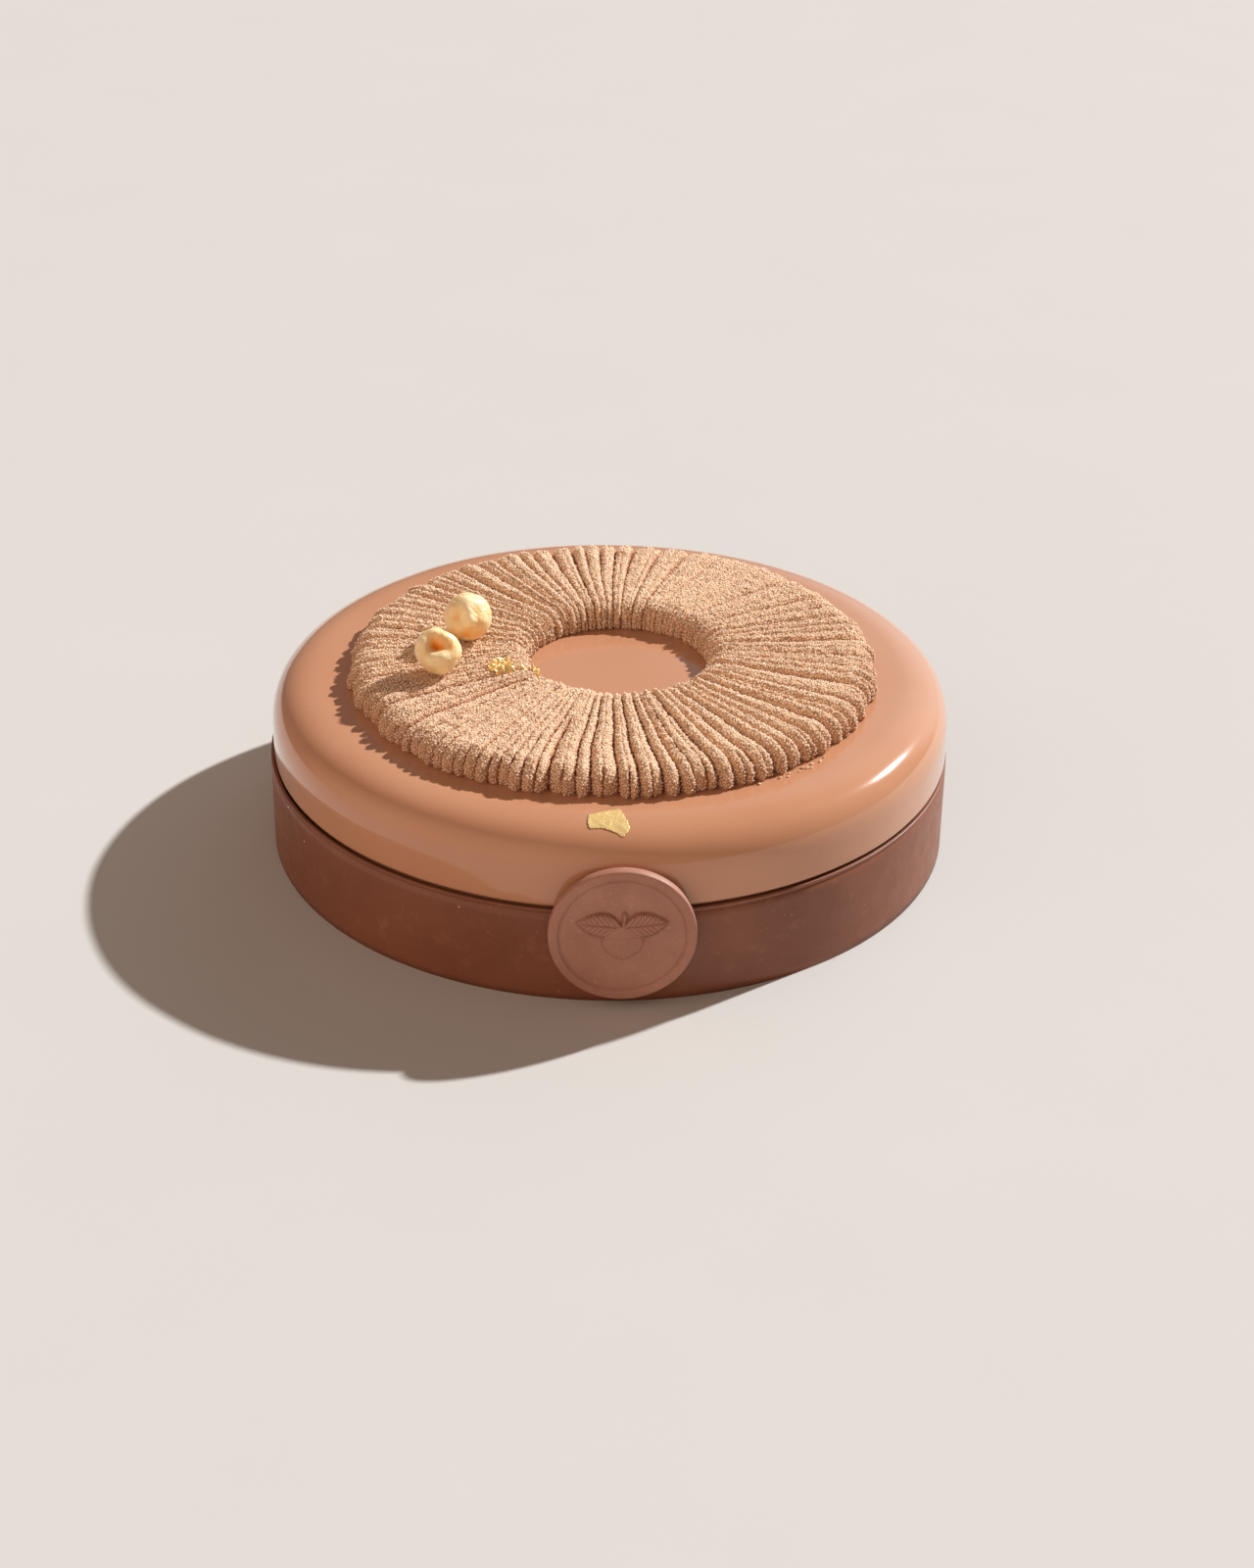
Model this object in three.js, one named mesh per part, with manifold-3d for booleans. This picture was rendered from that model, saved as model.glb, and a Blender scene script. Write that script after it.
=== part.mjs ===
/*
 * Hazelnut cake, uncut: a glazed round cake in a low chocolate band, with a pleated piped
 * ring, two blanched hazelnuts, flecks of gold leaf and a round chocolate seal.
 *
 * Units are millimetres and +Z is up. The origin is the centre of the underside.
 * The seal stands at the front, on the -Y side. Angles are in degrees from +X, towards +Y.
 */
import * as THREE from 'three';
import { mergeVertices } from 'three/addons/utils/BufferGeometryUtils.js';
import Module from 'manifold-3d';

// ---- Driving dimensions ----

const CAKE_RADIUS = 90;
const ROUND_SEGMENTS = 90;

const BAND_HEIGHT = 25.2;
const BAND_THICKNESS = 1.05;
const BAND_EDGE_CHAMFER = 0.25;

// Inside the band the body stands clear of it. Above the band the glaze swells out over it.
const GLAZE_GAP = 0.3;
const GLAZE_SHIFT_X = 0.3;
const GLAZE_HEIGHT = 44.8;
const BODY_RADIUS = CAKE_RADIUS - BAND_THICKNESS - GLAZE_GAP - Math.abs(GLAZE_SHIFT_X);
const GLAZE_RADIUS = 89.5;
const SWELL_GAP = 0.5;
const SWELL_DROP = 1.1;
const SHOULDER_WIDTH = 14;
const SHOULDER_DROP = 11.8;
const SHOULDER_SQUARENESS = 2.6;
const SHOULDER_STEPS = 7;

const RING_CENTRE = new THREE.Vector2(0.9, -0.7);
const RING_OUTER_RADIUS = 69.4;
// The open middle lies off the ring's own centre.
const RING_HOLE_OFFSET = new THREE.Vector2(1.4, 1.7);
const RING_INNER_RADIUS = 23.4;
const RING_BASE = GLAZE_HEIGHT + 0.2;
const RING_HEIGHT = 7;
const RING_OUTER_ROUNDING = new THREE.Vector2(4.2, 4.4);
const RING_INNER_ROUNDING = new THREE.Vector2(4.6, 5);
const RING_OUTER_STEPS = 3;
const RING_INNER_STEPS = 2;
const RING_UNEVENNESS = 0.35;

// Grooves between the pleats, by their angle at the ring's outer edge.
const DEEP_GROOVES = [
  4.7, 13.2, 22.7, 32.3, 98, 103.2, 108.6, 118.3, 122.7, 128.4, 138.9, 145.7, 154.7, 168.9, 198.8,
  254, 263, 269, 278.7, 282, 293.9, 303.7, 307.3, 311.5, 315.7, 321.7, 328, 341.6, 355.7,
];
const MEDIUM_GROOVES = [
  9.5, 17.7, 28.5, 40.5, 68.7, 75.3, 82.3, 86.7, 90.8, 94.7, 111.7, 134.2, 158.5, 162.7, 172.2,
  176.3, 182, 185.2, 188.5, 193, 203, 206.5, 217.3, 260, 273.4, 290.1, 298.6, 325.6, 333.7, 346,
  350.3,
];
const DEEP_GROOVE = 1.7;
const MEDIUM_GROOVE = 1.1;
const CREASE = 0.5;
// The pleats' ends stand apart more deeply than the grooves on top.
const PLEAT_END_DEPTH = 1.35;
const CREASE_SPACING = 4.6;
const PLEAT_COLUMNS = 3;
const PLEAT_ROUNDNESS = 0.55;
// The grooves fade out on the ring's top inside this radius.
const GROOVE_FADE_RADIUS = 45;
const GROOVE_FADE = 0.55;
const GROOVE_LEAN = 4;

const WHOLE_NUT_RADIUS = 6.3;
const HALF_NUT_RADIUS = 5.85;
const NUT_DETAIL = 4;
const NUT_CLEARANCE = 0.15;
const WHOLE_NUT_PLACE = new THREE.Vector2(-37.3, 4.8);
const HALF_NUT_PLACE = new THREE.Vector2(-44.8, -14.3);

const LEAF_THICKNESS = 0.2;
const LEAF_CLEARANCE = 0.12;
const LEAF_CELLS = 4;

const SEAL_RADIUS = 18;
const SEAL_THICKNESS = 3;
const SEAL_CENTRE_HEIGHT = 20.5;
const SEAL_GAP = 0.3;
const SEAL_EDGE_ROUNDING = 0.8;
const SEAL_RIM_WIDTH = 1.6;
const SEAL_GROOVE_WIDTH = 0.7;
const SEAL_GROOVE_DEPTH = 0.5;
const SEAL_FIELD_DEPTH = 0.3;
const SEAL_RELIEF = 0.45;
const SEAL_SEGMENTS = 48;
const MOTIF_KERNEL_WIDTH = 9.5;
const MOTIF_KERNEL_HEIGHT = 9.5;
const MOTIF_KERNEL_UP = -1.8;
const MOTIF_LEAF_LENGTH = 11;
const MOTIF_LEAF_WIDTH = 6.5;
const MOTIF_LEAF_UP = 2.6;
const MOTIF_LEAF_RISE = 7;

// ---- Small helpers ----

const degrees = THREE.MathUtils.degToRad;

/** A closed mesh's geometry with only its positions, its shared vertices merged. */
function weld(geometry) {
  const bare = new THREE.BufferGeometry();
  bare.setAttribute('position', geometry.getAttribute('position'));
  bare.setIndex(geometry.getIndex());
  return mergeVertices(bare, 1e-3);
}

/** Moves every vertex of a geometry to move(vertex). */
function reshape(geometry, move) {
  const welded = weld(geometry);
  const positions = welded.getAttribute('position');
  const vertex = new THREE.Vector3();
  for (let index = 0; index < positions.count; index += 1) {
    vertex.fromBufferAttribute(positions, index);
    const moved = move(vertex);
    positions.setXYZ(index, moved.x, moved.y, moved.z);
  }
  welded.computeVertexNormals();
  return welded;
}

/** Revolves a profile of (radius, height) points about +Z. */
function revolve(profile, segments) {
  const lathe = new THREE.LatheGeometry(profile, segments);
  lathe.rotateX(Math.PI / 2);
  return lathe;
}

/**
 * Points of a quarter ellipse, from the angle start to the angle end, both in quarter turns.
 * A squareness of 2 is a true ellipse, and a larger one has a fuller corner.
 */
function quarterEllipse(centre, halfAxes, start, end, steps, squareness = 2) {
  const points = [];
  const swell = (value) => Math.sign(value) * Math.abs(value) ** (2 / squareness);
  for (let step = 0; step <= steps; step += 1) {
    const angle = (Math.PI / 2) * THREE.MathUtils.lerp(start, end, step / steps);
    points.push(new THREE.Vector2(
      centre.x + halfAxes.x * swell(Math.cos(angle)),
      centre.y + halfAxes.y * swell(Math.sin(angle)),
    ));
  }
  return points;
}

function namedMesh(name, geometry, material) {
  const mesh = new THREE.Mesh(geometry, material);
  mesh.name = name;
  return mesh;
}

function food(color, roughness) {
  return new THREE.MeshStandardMaterial({ color, roughness, metalness: 0 });
}

// ---- Glazed cake ----

function makeCakeBody() {
  const shoulderCentre = new THREE.Vector2(GLAZE_RADIUS - SHOULDER_WIDTH, GLAZE_HEIGHT - SHOULDER_DROP);
  const shoulderAxes = new THREE.Vector2(SHOULDER_WIDTH, SHOULDER_DROP);
  const swellBottom = BAND_HEIGHT + SWELL_GAP;
  const profile = [
    new THREE.Vector2(0, 0),
    new THREE.Vector2(BODY_RADIUS, 0),
    new THREE.Vector2(BODY_RADIUS, swellBottom),
    new THREE.Vector2(GLAZE_RADIUS, swellBottom + SWELL_DROP),
    ...quarterEllipse(shoulderCentre, shoulderAxes, 0, 1, SHOULDER_STEPS, SHOULDER_SQUARENESS),
    new THREE.Vector2(0, GLAZE_HEIGHT),
  ];
  const geometry = weld(revolve(profile, ROUND_SEGMENTS));
  geometry.computeVertexNormals();
  const body = namedMesh('cake_body', geometry, food('#c08a69', 0.25));
  body.position.x = GLAZE_SHIFT_X;
  return body;
}

/** Height of the glaze at a distance from the cake's middle. */
function glazeHeightAt(radius) {
  const along = (radius - (GLAZE_RADIUS - SHOULDER_WIDTH)) / SHOULDER_WIDTH;
  const clamped = THREE.MathUtils.clamp(along, 0, 1);
  const height = (1 - clamped ** SHOULDER_SQUARENESS) ** (1 / SHOULDER_SQUARENESS);
  return GLAZE_HEIGHT - SHOULDER_DROP * (1 - height);
}

// ---- Chocolate band ----

function makeChocolateBand() {
  const inner = CAKE_RADIUS - BAND_THICKNESS;
  const profile = [
    new THREE.Vector2(inner, 0),
    new THREE.Vector2(CAKE_RADIUS, 0),
    new THREE.Vector2(CAKE_RADIUS, BAND_HEIGHT - BAND_EDGE_CHAMFER),
    new THREE.Vector2(CAKE_RADIUS - BAND_EDGE_CHAMFER, BAND_HEIGHT),
    new THREE.Vector2(inner, BAND_HEIGHT),
    new THREE.Vector2(inner, 0),
  ];
  const geometry = weld(revolve(profile, ROUND_SEGMENTS));
  geometry.computeVertexNormals();
  return namedMesh('chocolate_band', geometry, food('#6e4030', 0.45));
}

// ---- Piped ring ----

/** All the grooves in order: the stated ones, with shallow creases filling the wide gaps. */
function listGrooves() {
  const stated = [
    ...DEEP_GROOVES.map((angle) => ({ angle, depth: DEEP_GROOVE })),
    ...MEDIUM_GROOVES.map((angle) => ({ angle, depth: MEDIUM_GROOVE })),
  ].sort((a, b) => a.angle - b.angle);
  const grooves = [];
  stated.forEach((groove, index) => {
    const wraps = index + 1 === stated.length;
    const nextAngle = wraps ? stated[0].angle + 360 : stated[index + 1].angle;
    const pleats = Math.max(1, Math.round((nextAngle - groove.angle) / CREASE_SPACING));
    grooves.push(groove);
    for (let pleat = 1; pleat < pleats; pleat += 1) {
      const angle = THREE.MathUtils.lerp(groove.angle, nextAngle, pleat / pleats);
      grooves.push({ angle, depth: CREASE });
    }
  });
  return grooves;
}

/** Angle and groove depth of a column of the ring, counted round it from the first groove. */
function pleatAt(grooves, column) {
  const index = Math.floor(column / PLEAT_COLUMNS) % grooves.length;
  const along = (column % PLEAT_COLUMNS) / PLEAT_COLUMNS;
  const here = grooves[index];
  const next = grooves[(index + 1) % grooves.length];
  const nextAngle = next.angle > here.angle ? next.angle : next.angle + 360;
  const crest = Math.sin(Math.PI * along) ** PLEAT_ROUNDNESS;
  return {
    angle: THREE.MathUtils.lerp(here.angle, nextAngle, along),
    cut: (1 - crest) * THREE.MathUtils.lerp(here.depth, next.depth, along),
  };
}

function makePipedRing() {
  const grooves = listGrooves();
  const columns = grooves.length * PLEAT_COLUMNS;
  const innerCentre = new THREE.Vector2(
    RING_INNER_RADIUS + RING_INNER_ROUNDING.x,
    RING_HEIGHT - RING_INNER_ROUNDING.y,
  );
  const outerCentre = new THREE.Vector2(
    RING_OUTER_RADIUS - RING_OUTER_ROUNDING.x,
    RING_HEIGHT - RING_OUTER_ROUNDING.y,
  );
  const section = [
    new THREE.Vector2(RING_INNER_RADIUS, 0),
    new THREE.Vector2(RING_OUTER_RADIUS, 0),
    ...quarterEllipse(outerCentre, RING_OUTER_ROUNDING, 0, 1, RING_OUTER_STEPS),
    new THREE.Vector2(GROOVE_FADE_RADIUS, RING_HEIGHT),
    ...quarterEllipse(innerCentre, RING_INNER_ROUNDING, 1, 2, RING_INNER_STEPS),
    new THREE.Vector2(RING_INNER_RADIUS, 0),
  ];
  const topWidth = outerCentre.x - innerCentre.x;
  const ringWidth = RING_OUTER_RADIUS - RING_INNER_RADIUS;

  const geometry = reshape(revolve(section, columns), (vertex) => {
    const radius = Math.hypot(vertex.x, vertex.y);
    const turn = (Math.atan2(vertex.y, vertex.x) / (2 * Math.PI) + 1) % 1;
    const pleat = pleatAt(grooves, Math.round(turn * columns) % columns);
    const lift = vertex.z / RING_HEIGHT;
    const outward = THREE.MathUtils.clamp((radius - outerCentre.x) / RING_OUTER_ROUNDING.x, 0, 1);
    const inward = THREE.MathUtils.clamp((innerCentre.x - radius) / RING_INNER_ROUNDING.x, 0, 1);
    const fade = 1 - GROOVE_FADE * THREE.MathUtils.smoothstep(outerCentre.x - radius, 0, topWidth);
    const cut = pleat.cut * fade;
    const sway = RING_UNEVENNESS * Math.sin(degrees(3 * pleat.angle)) * Math.cos(degrees(7 * pleat.angle));
    const lean = GROOVE_LEAN * Math.sin(degrees(pleat.angle)) * (1 - radius / RING_OUTER_RADIUS);
    const angle = degrees(pleat.angle + lean);
    const moved = radius + outward * (sway - PLEAT_END_DEPTH * cut) + inward * cut;
    const height = vertex.z - lift * (1 - outward) * (1 - inward) * cut;
    const holeShare = THREE.MathUtils.clamp((RING_OUTER_RADIUS - radius) / ringWidth, 0, 1);
    return new THREE.Vector3(
      moved * Math.cos(angle) + RING_HOLE_OFFSET.x * holeShare,
      moved * Math.sin(angle) + RING_HOLE_OFFSET.y * holeShare,
      height,
    );
  });
  const ring = namedMesh('piped_ring', geometry, food('#dcb18c', 0.95));
  ring.position.set(RING_CENTRE.x, RING_CENTRE.y, RING_BASE);
  return ring;
}

// ---- Hazelnuts ----

/** A lumpy ball: each lump raises or sinks the surface around its own direction. */
function makeLumpyBall(nutRadius, lumps) {
  const ball = new THREE.IcosahedronGeometry(1, NUT_DETAIL);
  return reshape(ball, (vertex) => {
    const direction = vertex.clone().normalize();
    let radius = nutRadius;
    lumps.forEach((lump) => {
      const away = direction.angleTo(lump.towards);
      radius += lump.height * Math.exp(-((away / degrees(lump.width)) ** 2));
    });
    return direction.multiplyScalar(radius);
  });
}

function lump(x, y, z, height, width) {
  return { towards: new THREE.Vector3(x, y, z).normalize(), height, width };
}

/** Stands a nut on the ring's top at a place in plan. */
function placeNut(name, geometry, place) {
  geometry.computeBoundingBox();
  const nut = namedMesh(name, geometry, food('#f0dab0', 0.4));
  const ringTop = RING_BASE + RING_HEIGHT;
  nut.position.set(place.x, place.y, ringTop + NUT_CLEARANCE - geometry.boundingBox.min.z);
  return nut;
}

/** A kernel with its pointed end to the front, three ridges meeting at the point. */
function makeWholeNut() {
  const lumps = [
    lump(0.07, -0.96, 0.26, 0.75, 17),
    lump(0, -0.75, 0.65, 0.45, 16),
    lump(-0.03, -0.35, 0.93, 0.45, 18),
    lump(0.6, -0.75, 0.3, 0.35, 18),
    lump(-0.5, -0.8, -0.2, 0.35, 18),
    lump(-0.45, -0.8, 0.45, -0.55, 20),
    lump(0.45, -0.7, 0.6, -0.55, 20),
    lump(0.1, -0.9, -0.35, -0.5, 22),
    lump(0.05, 0.95, -0.1, -0.5, 34),
  ];
  return placeNut('hazelnut_whole', makeLumpyBall(WHOLE_NUT_RADIUS, lumps), WHOLE_NUT_PLACE);
}

/** A kernel split open at the front and top, down to its hollow middle. */
function makeHalfNut() {
  const lumps = [
    lump(-0.12, -0.76, 0.64, -3.4, 22),
    lump(0.36, -0.68, 0.63, -1.6, 20),
    lump(0.5, 0.43, 0.75, -0.9, 18),
    lump(1, 0, -0.05, 0.35, 25),
    lump(0.15, -0.5, -0.86, 0.4, 22),
    lump(-0.8, 0.2, 0.5, 0.3, 30),
  ];
  return placeNut('hazelnut_half', makeLumpyBall(HALF_NUT_RADIUS, lumps), HALF_NUT_PLACE);
}

// ---- Gold leaf ----

/** A thin sheet between four corners, lying on the surface that floorAt gives. */
function makeGoldLeaf(name, corners, floorAt, crumple) {
  const sheet = new THREE.BoxGeometry(1, 1, 1, LEAF_CELLS, LEAF_CELLS, 1);
  const geometry = reshape(sheet, (vertex) => {
    const across = vertex.x + 0.5;
    const along = vertex.y + 0.5;
    const near = corners[0].clone().lerp(corners[1], across);
    const far = corners[3].clone().lerp(corners[2], across);
    const place = near.lerp(far, along);
    const fold = crumple * Math.abs(Math.sin(9 * across + 2 * along) * Math.cos(7 * along));
    const rise = LEAF_THICKNESS * (vertex.z + 0.5) + fold;
    return new THREE.Vector3(place.x, place.y, floorAt(place) + LEAF_CLEARANCE + rise);
  });
  const gold = new THREE.MeshStandardMaterial({ color: '#e0b765', roughness: 0.3, metalness: 1 });
  return namedMesh(name, geometry, gold);
}

function makeGoldLeaves() {
  const onGlaze = (place) => glazeHeightAt(Math.hypot(place.x - GLAZE_SHIFT_X, place.y));
  const onRing = () => RING_BASE + RING_HEIGHT;
  const front = [
    new THREE.Vector2(-8.4, -81.2),
    new THREE.Vector2(1, -83.4),
    new THREE.Vector2(-0.7, -74.5),
    new THREE.Vector2(-8.2, -76.8),
  ];
  const crumpled = [
    new THREE.Vector2(-32, -14.2),
    new THREE.Vector2(-26, -13.2),
    new THREE.Vector2(-25.8, -8.4),
    new THREE.Vector2(-31, -8.6),
  ];
  const strip = [
    new THREE.Vector2(-25.2, -11.6),
    new THREE.Vector2(-19, -12.9),
    new THREE.Vector2(-18.8, -11.9),
    new THREE.Vector2(-24.8, -10.6),
  ];
  return [
    makeGoldLeaf('gold_leaf_front', front, onGlaze, 0),
    makeGoldLeaf('gold_leaf_ring', crumpled, onRing, 1.3),
    makeGoldLeaf('gold_leaf_strip', strip, onRing, 0.2),
  ];
}

// ---- Chocolate seal ----

function makeLeafShape(length, width) {
  const shape = new THREE.Shape();
  shape.moveTo(0, 0);
  shape.quadraticCurveTo(length * 0.4, width, length, 0);
  shape.quadraticCurveTo(length * 0.4, -width, 0, 0);
  return shape;
}

function makeKernelShape(width, height) {
  const shape = new THREE.Shape();
  shape.moveTo(0, -height / 2);
  shape.bezierCurveTo(width * 0.75, -height * 0.25, width * 0.6, height / 2, 0, height / 2);
  shape.bezierCurveTo(-width * 0.6, height / 2, -width * 0.75, -height * 0.25, 0, -height / 2);
  return shape;
}

/** Raises a flat shape from the seal's field, turned about its own start and then placed. */
function makeRelief(shape, turn, x, up, bottom, top) {
  const options = { depth: top - bottom, bevelEnabled: false, curveSegments: 7 };
  const relief = new THREE.ExtrudeGeometry(shape, options);
  relief.rotateZ(degrees(turn));
  relief.translate(x, up, bottom);
  relief.rotateX(-Math.PI / 2);
  return relief;
}

/** Joins closed geometries that overlap into one closed geometry. */
function join(wasm, geometries) {
  const solids = geometries.map((geometry) => {
    const welded = weld(geometry);
    return new wasm.Manifold(new wasm.Mesh({
      numProp: 3,
      vertProperties: new Float32Array(welded.getAttribute('position').array),
      triVerts: new Uint32Array(welded.getIndex().array),
    }));
  });
  const joined = solids.reduce((sum, solid) => sum.add(solid)).getMesh();
  const result = new THREE.BufferGeometry();
  result.setAttribute('position', new THREE.BufferAttribute(joined.vertProperties, 3));
  result.setIndex(new THREE.BufferAttribute(joined.triVerts, 1));
  result.computeVertexNormals();
  return result;
}

async function makeSeal() {
  const rounding = new THREE.Vector2(SEAL_EDGE_ROUNDING, SEAL_EDGE_ROUNDING);
  const edgeRadius = SEAL_RADIUS - SEAL_EDGE_ROUNDING;
  const rimInner = edgeRadius - SEAL_RIM_WIDTH;
  const field = SEAL_THICKNESS - SEAL_FIELD_DEPTH;
  const grooveInner = rimInner - SEAL_GROOVE_WIDTH;
  const profile = [
    new THREE.Vector2(0, 0),
    ...quarterEllipse(new THREE.Vector2(edgeRadius, SEAL_EDGE_ROUNDING), rounding, -1, 0, 2),
    ...quarterEllipse(new THREE.Vector2(edgeRadius, SEAL_THICKNESS - SEAL_EDGE_ROUNDING), rounding, 0, 1, 2),
    new THREE.Vector2(rimInner, SEAL_THICKNESS),
    new THREE.Vector2(rimInner - SEAL_GROOVE_WIDTH / 2, SEAL_THICKNESS - SEAL_GROOVE_DEPTH),
    new THREE.Vector2(grooveInner, field),
    new THREE.Vector2(0, field),
  ];
  const disc = new THREE.LatheGeometry(profile, SEAL_SEGMENTS);
  const bottom = field - SEAL_RELIEF;
  const top = field + SEAL_RELIEF;
  const wasm = await Module();
  wasm.setup();
  const leaf = makeLeafShape(MOTIF_LEAF_LENGTH, MOTIF_LEAF_WIDTH);
  const geometry = join(wasm, [
    disc,
    makeRelief(makeKernelShape(MOTIF_KERNEL_WIDTH, MOTIF_KERNEL_HEIGHT), 0, 0, MOTIF_KERNEL_UP, bottom, top),
    makeRelief(leaf, MOTIF_LEAF_RISE, 0, MOTIF_LEAF_UP, bottom, top),
    makeRelief(leaf, 180 - MOTIF_LEAF_RISE, 0, MOTIF_LEAF_UP, bottom, top),
  ]);
  const seal = namedMesh('seal', geometry, food('#925f4f', 0.6));
  seal.rotation.x = Math.PI;
  seal.position.set(0, -CAKE_RADIUS - SEAL_GAP, SEAL_CENTRE_HEIGHT);
  return seal;
}

// ---- The whole cake ----

const group = new THREE.Group();
group.add(makeCakeBody());
group.add(makeChocolateBand());
group.add(makePipedRing());
group.add(makeWholeNut());
group.add(makeHalfNut());
makeGoldLeaves().forEach((leaf) => group.add(leaf));
group.add(await makeSeal());

export default group;
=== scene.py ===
"""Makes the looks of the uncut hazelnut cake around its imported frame.

Everything is in metres in the cake's own frame: the origin is the centre of the underside,
+Z is up and the chocolate seal stands at the front, on the -Y side. Angles are in degrees
from +X, towards +Y. The file is laid out as an add-on and is run as a script.
"""
import math

import bmesh
import bpy
import numpy as np
from bpy.props import FloatProperty, FloatVectorProperty, IntProperty, PointerProperty
from bpy.types import NodeSocket, Operator, Panel, PropertyGroup
from mathutils import Matrix, Vector
from mathutils.bvhtree import BVHTree


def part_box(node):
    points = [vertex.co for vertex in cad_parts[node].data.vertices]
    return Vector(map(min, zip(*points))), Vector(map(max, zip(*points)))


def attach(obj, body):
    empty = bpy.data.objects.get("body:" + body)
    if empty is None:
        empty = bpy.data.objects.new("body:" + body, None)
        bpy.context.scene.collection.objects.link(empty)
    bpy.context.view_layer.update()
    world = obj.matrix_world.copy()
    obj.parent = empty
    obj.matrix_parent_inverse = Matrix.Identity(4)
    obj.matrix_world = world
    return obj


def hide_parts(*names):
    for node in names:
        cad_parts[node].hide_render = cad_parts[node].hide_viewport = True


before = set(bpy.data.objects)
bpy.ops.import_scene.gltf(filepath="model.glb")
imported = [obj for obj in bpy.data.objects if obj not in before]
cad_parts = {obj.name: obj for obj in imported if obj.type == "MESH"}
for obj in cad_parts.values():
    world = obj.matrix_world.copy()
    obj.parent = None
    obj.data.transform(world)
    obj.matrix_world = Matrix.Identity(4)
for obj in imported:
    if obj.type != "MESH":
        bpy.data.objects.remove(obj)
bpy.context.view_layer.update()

bl_info = {
    "name": "Hazelnut Cake",
    "version": (1, 0, 0),
    "blender": (4, 5, 0),
    "location": "View3D > Sidebar > Cake",
    "description": "Glazed cake with a pleated velvet ring, hazelnuts, gold leaf and a seal",
    "category": "Object",
}

MM = 0.001
BODY_LOW, BODY_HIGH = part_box("cake_body")
BAND_LOW, BAND_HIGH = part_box("chocolate_band")
RING_LOW, RING_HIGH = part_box("piped_ring")
SEAL_LOW, SEAL_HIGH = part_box("seal")


# ---- Settings and colours ----

def linear(red, green, blue):
    """The linear colour of a screen colour whose channels run from 0 to 255."""
    channels = []
    for value in (red, green, blue):
        share = value / 255
        channels.append(share / 12.92 if share <= 0.04045 else ((share + 0.055) / 1.055) ** 2.4)
    return tuple(channels)


def dimmed(colour, share):
    """A colour with each of its channels cut to that share."""
    return tuple(channel * share for channel in colour)


def length(name, description, metres):
    return FloatProperty(name=name, description=description, default=metres, unit="LENGTH")


def bearing(name, description, degrees):
    default = math.radians(degrees)
    return FloatProperty(name=name, description=description, default=default, unit="ROTATION")


def number(name, description, value):
    return FloatProperty(name=name, description=description, default=value)


def whole_number(name, description, value):
    return IntProperty(name=name, description=description, default=value)


def tint(name, description, red, green, blue):
    """A colour setting whose default is a screen colour."""
    default = linear(red, green, blue)
    return FloatVectorProperty(name=name, description=description, default=default, subtype="COLOR")


# ---- Shapes in numbers ----

def smooth_step(low, high, value):
    """0 below low, 1 above high, and a smooth rise in between."""
    share = np.clip((value - low) / (high - low), 0, 1)
    return share * share * (3 - 2 * share)


def bell(distance, width):
    """1 where the distance is 0, falling smoothly to almost 0 two widths away."""
    return np.exp(-(distance / width) ** 2)


def ripple(points, wavelength, seed, waves=26):
    """A smooth random pattern, mostly from -1 to 1, with lumps about a wavelength apart."""
    draw = np.random.default_rng(seed)
    directions = draw.normal(size=(waves, 3))
    directions /= np.linalg.norm(directions, axis=1)[:, None]
    lengths = wavelength * draw.uniform(0.75, 1.35, waves)
    phases = draw.uniform(0, 2 * math.pi, waves)
    angles = points @ (directions.T * (2 * math.pi / lengths)) + phases
    return np.sin(angles).sum(axis=-1) / math.sqrt(waves)


def on_circle(angle, radius):
    """The place (x, y) at that angle and radius."""
    turned = math.radians(angle)
    return radius * math.cos(turned), radius * math.sin(turned)


def quarter_ellipse(centre, half_axes, start, end, steps, squareness=2.0):
    """Points on a quarter ellipse. start and end are in quarter turns. A squareness of 2 is a
    true ellipse, and a larger one has a fuller corner."""
    points = []
    for step in range(steps + 1):
        angle = math.pi / 2 * (start + (end - start) * step / steps)
        across = math.copysign(abs(math.cos(angle)) ** (2 / squareness), math.cos(angle))
        up = math.copysign(abs(math.sin(angle)) ** (2 / squareness), math.sin(angle))
        points.append((centre[0] + half_axes[0] * across, centre[1] + half_axes[1] * up))
    return points


def even_steps(points, spacing):
    """The same outline with more points, so that no two are further apart than spacing."""
    outline = [points[0]]
    for here, there in zip(points[:-1], points[1:]):
        steps = max(1, math.ceil(math.dist(here, there) / spacing))
        for step in range(1, steps + 1):
            share = step / steps
            outline.append(tuple(a + (b - a) * share for a, b in zip(here, there)))
    return outline


# ---- Meshes ----

def new_mesh(name, points, edges=(), faces=()):
    mesh = bpy.data.meshes.new(name)
    mesh.from_pydata(points, edges, faces)
    return mesh


def face_outwards(mesh):
    """Turns a closed mesh's faces outwards and shades it smooth."""
    shape = bmesh.new()
    shape.from_mesh(mesh)
    if shape.calc_volume(signed=True) < 0:
        bmesh.ops.reverse_faces(shape, faces=shape.faces)
    shape.to_mesh(mesh)
    shape.free()
    mesh.shade_smooth()


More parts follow.
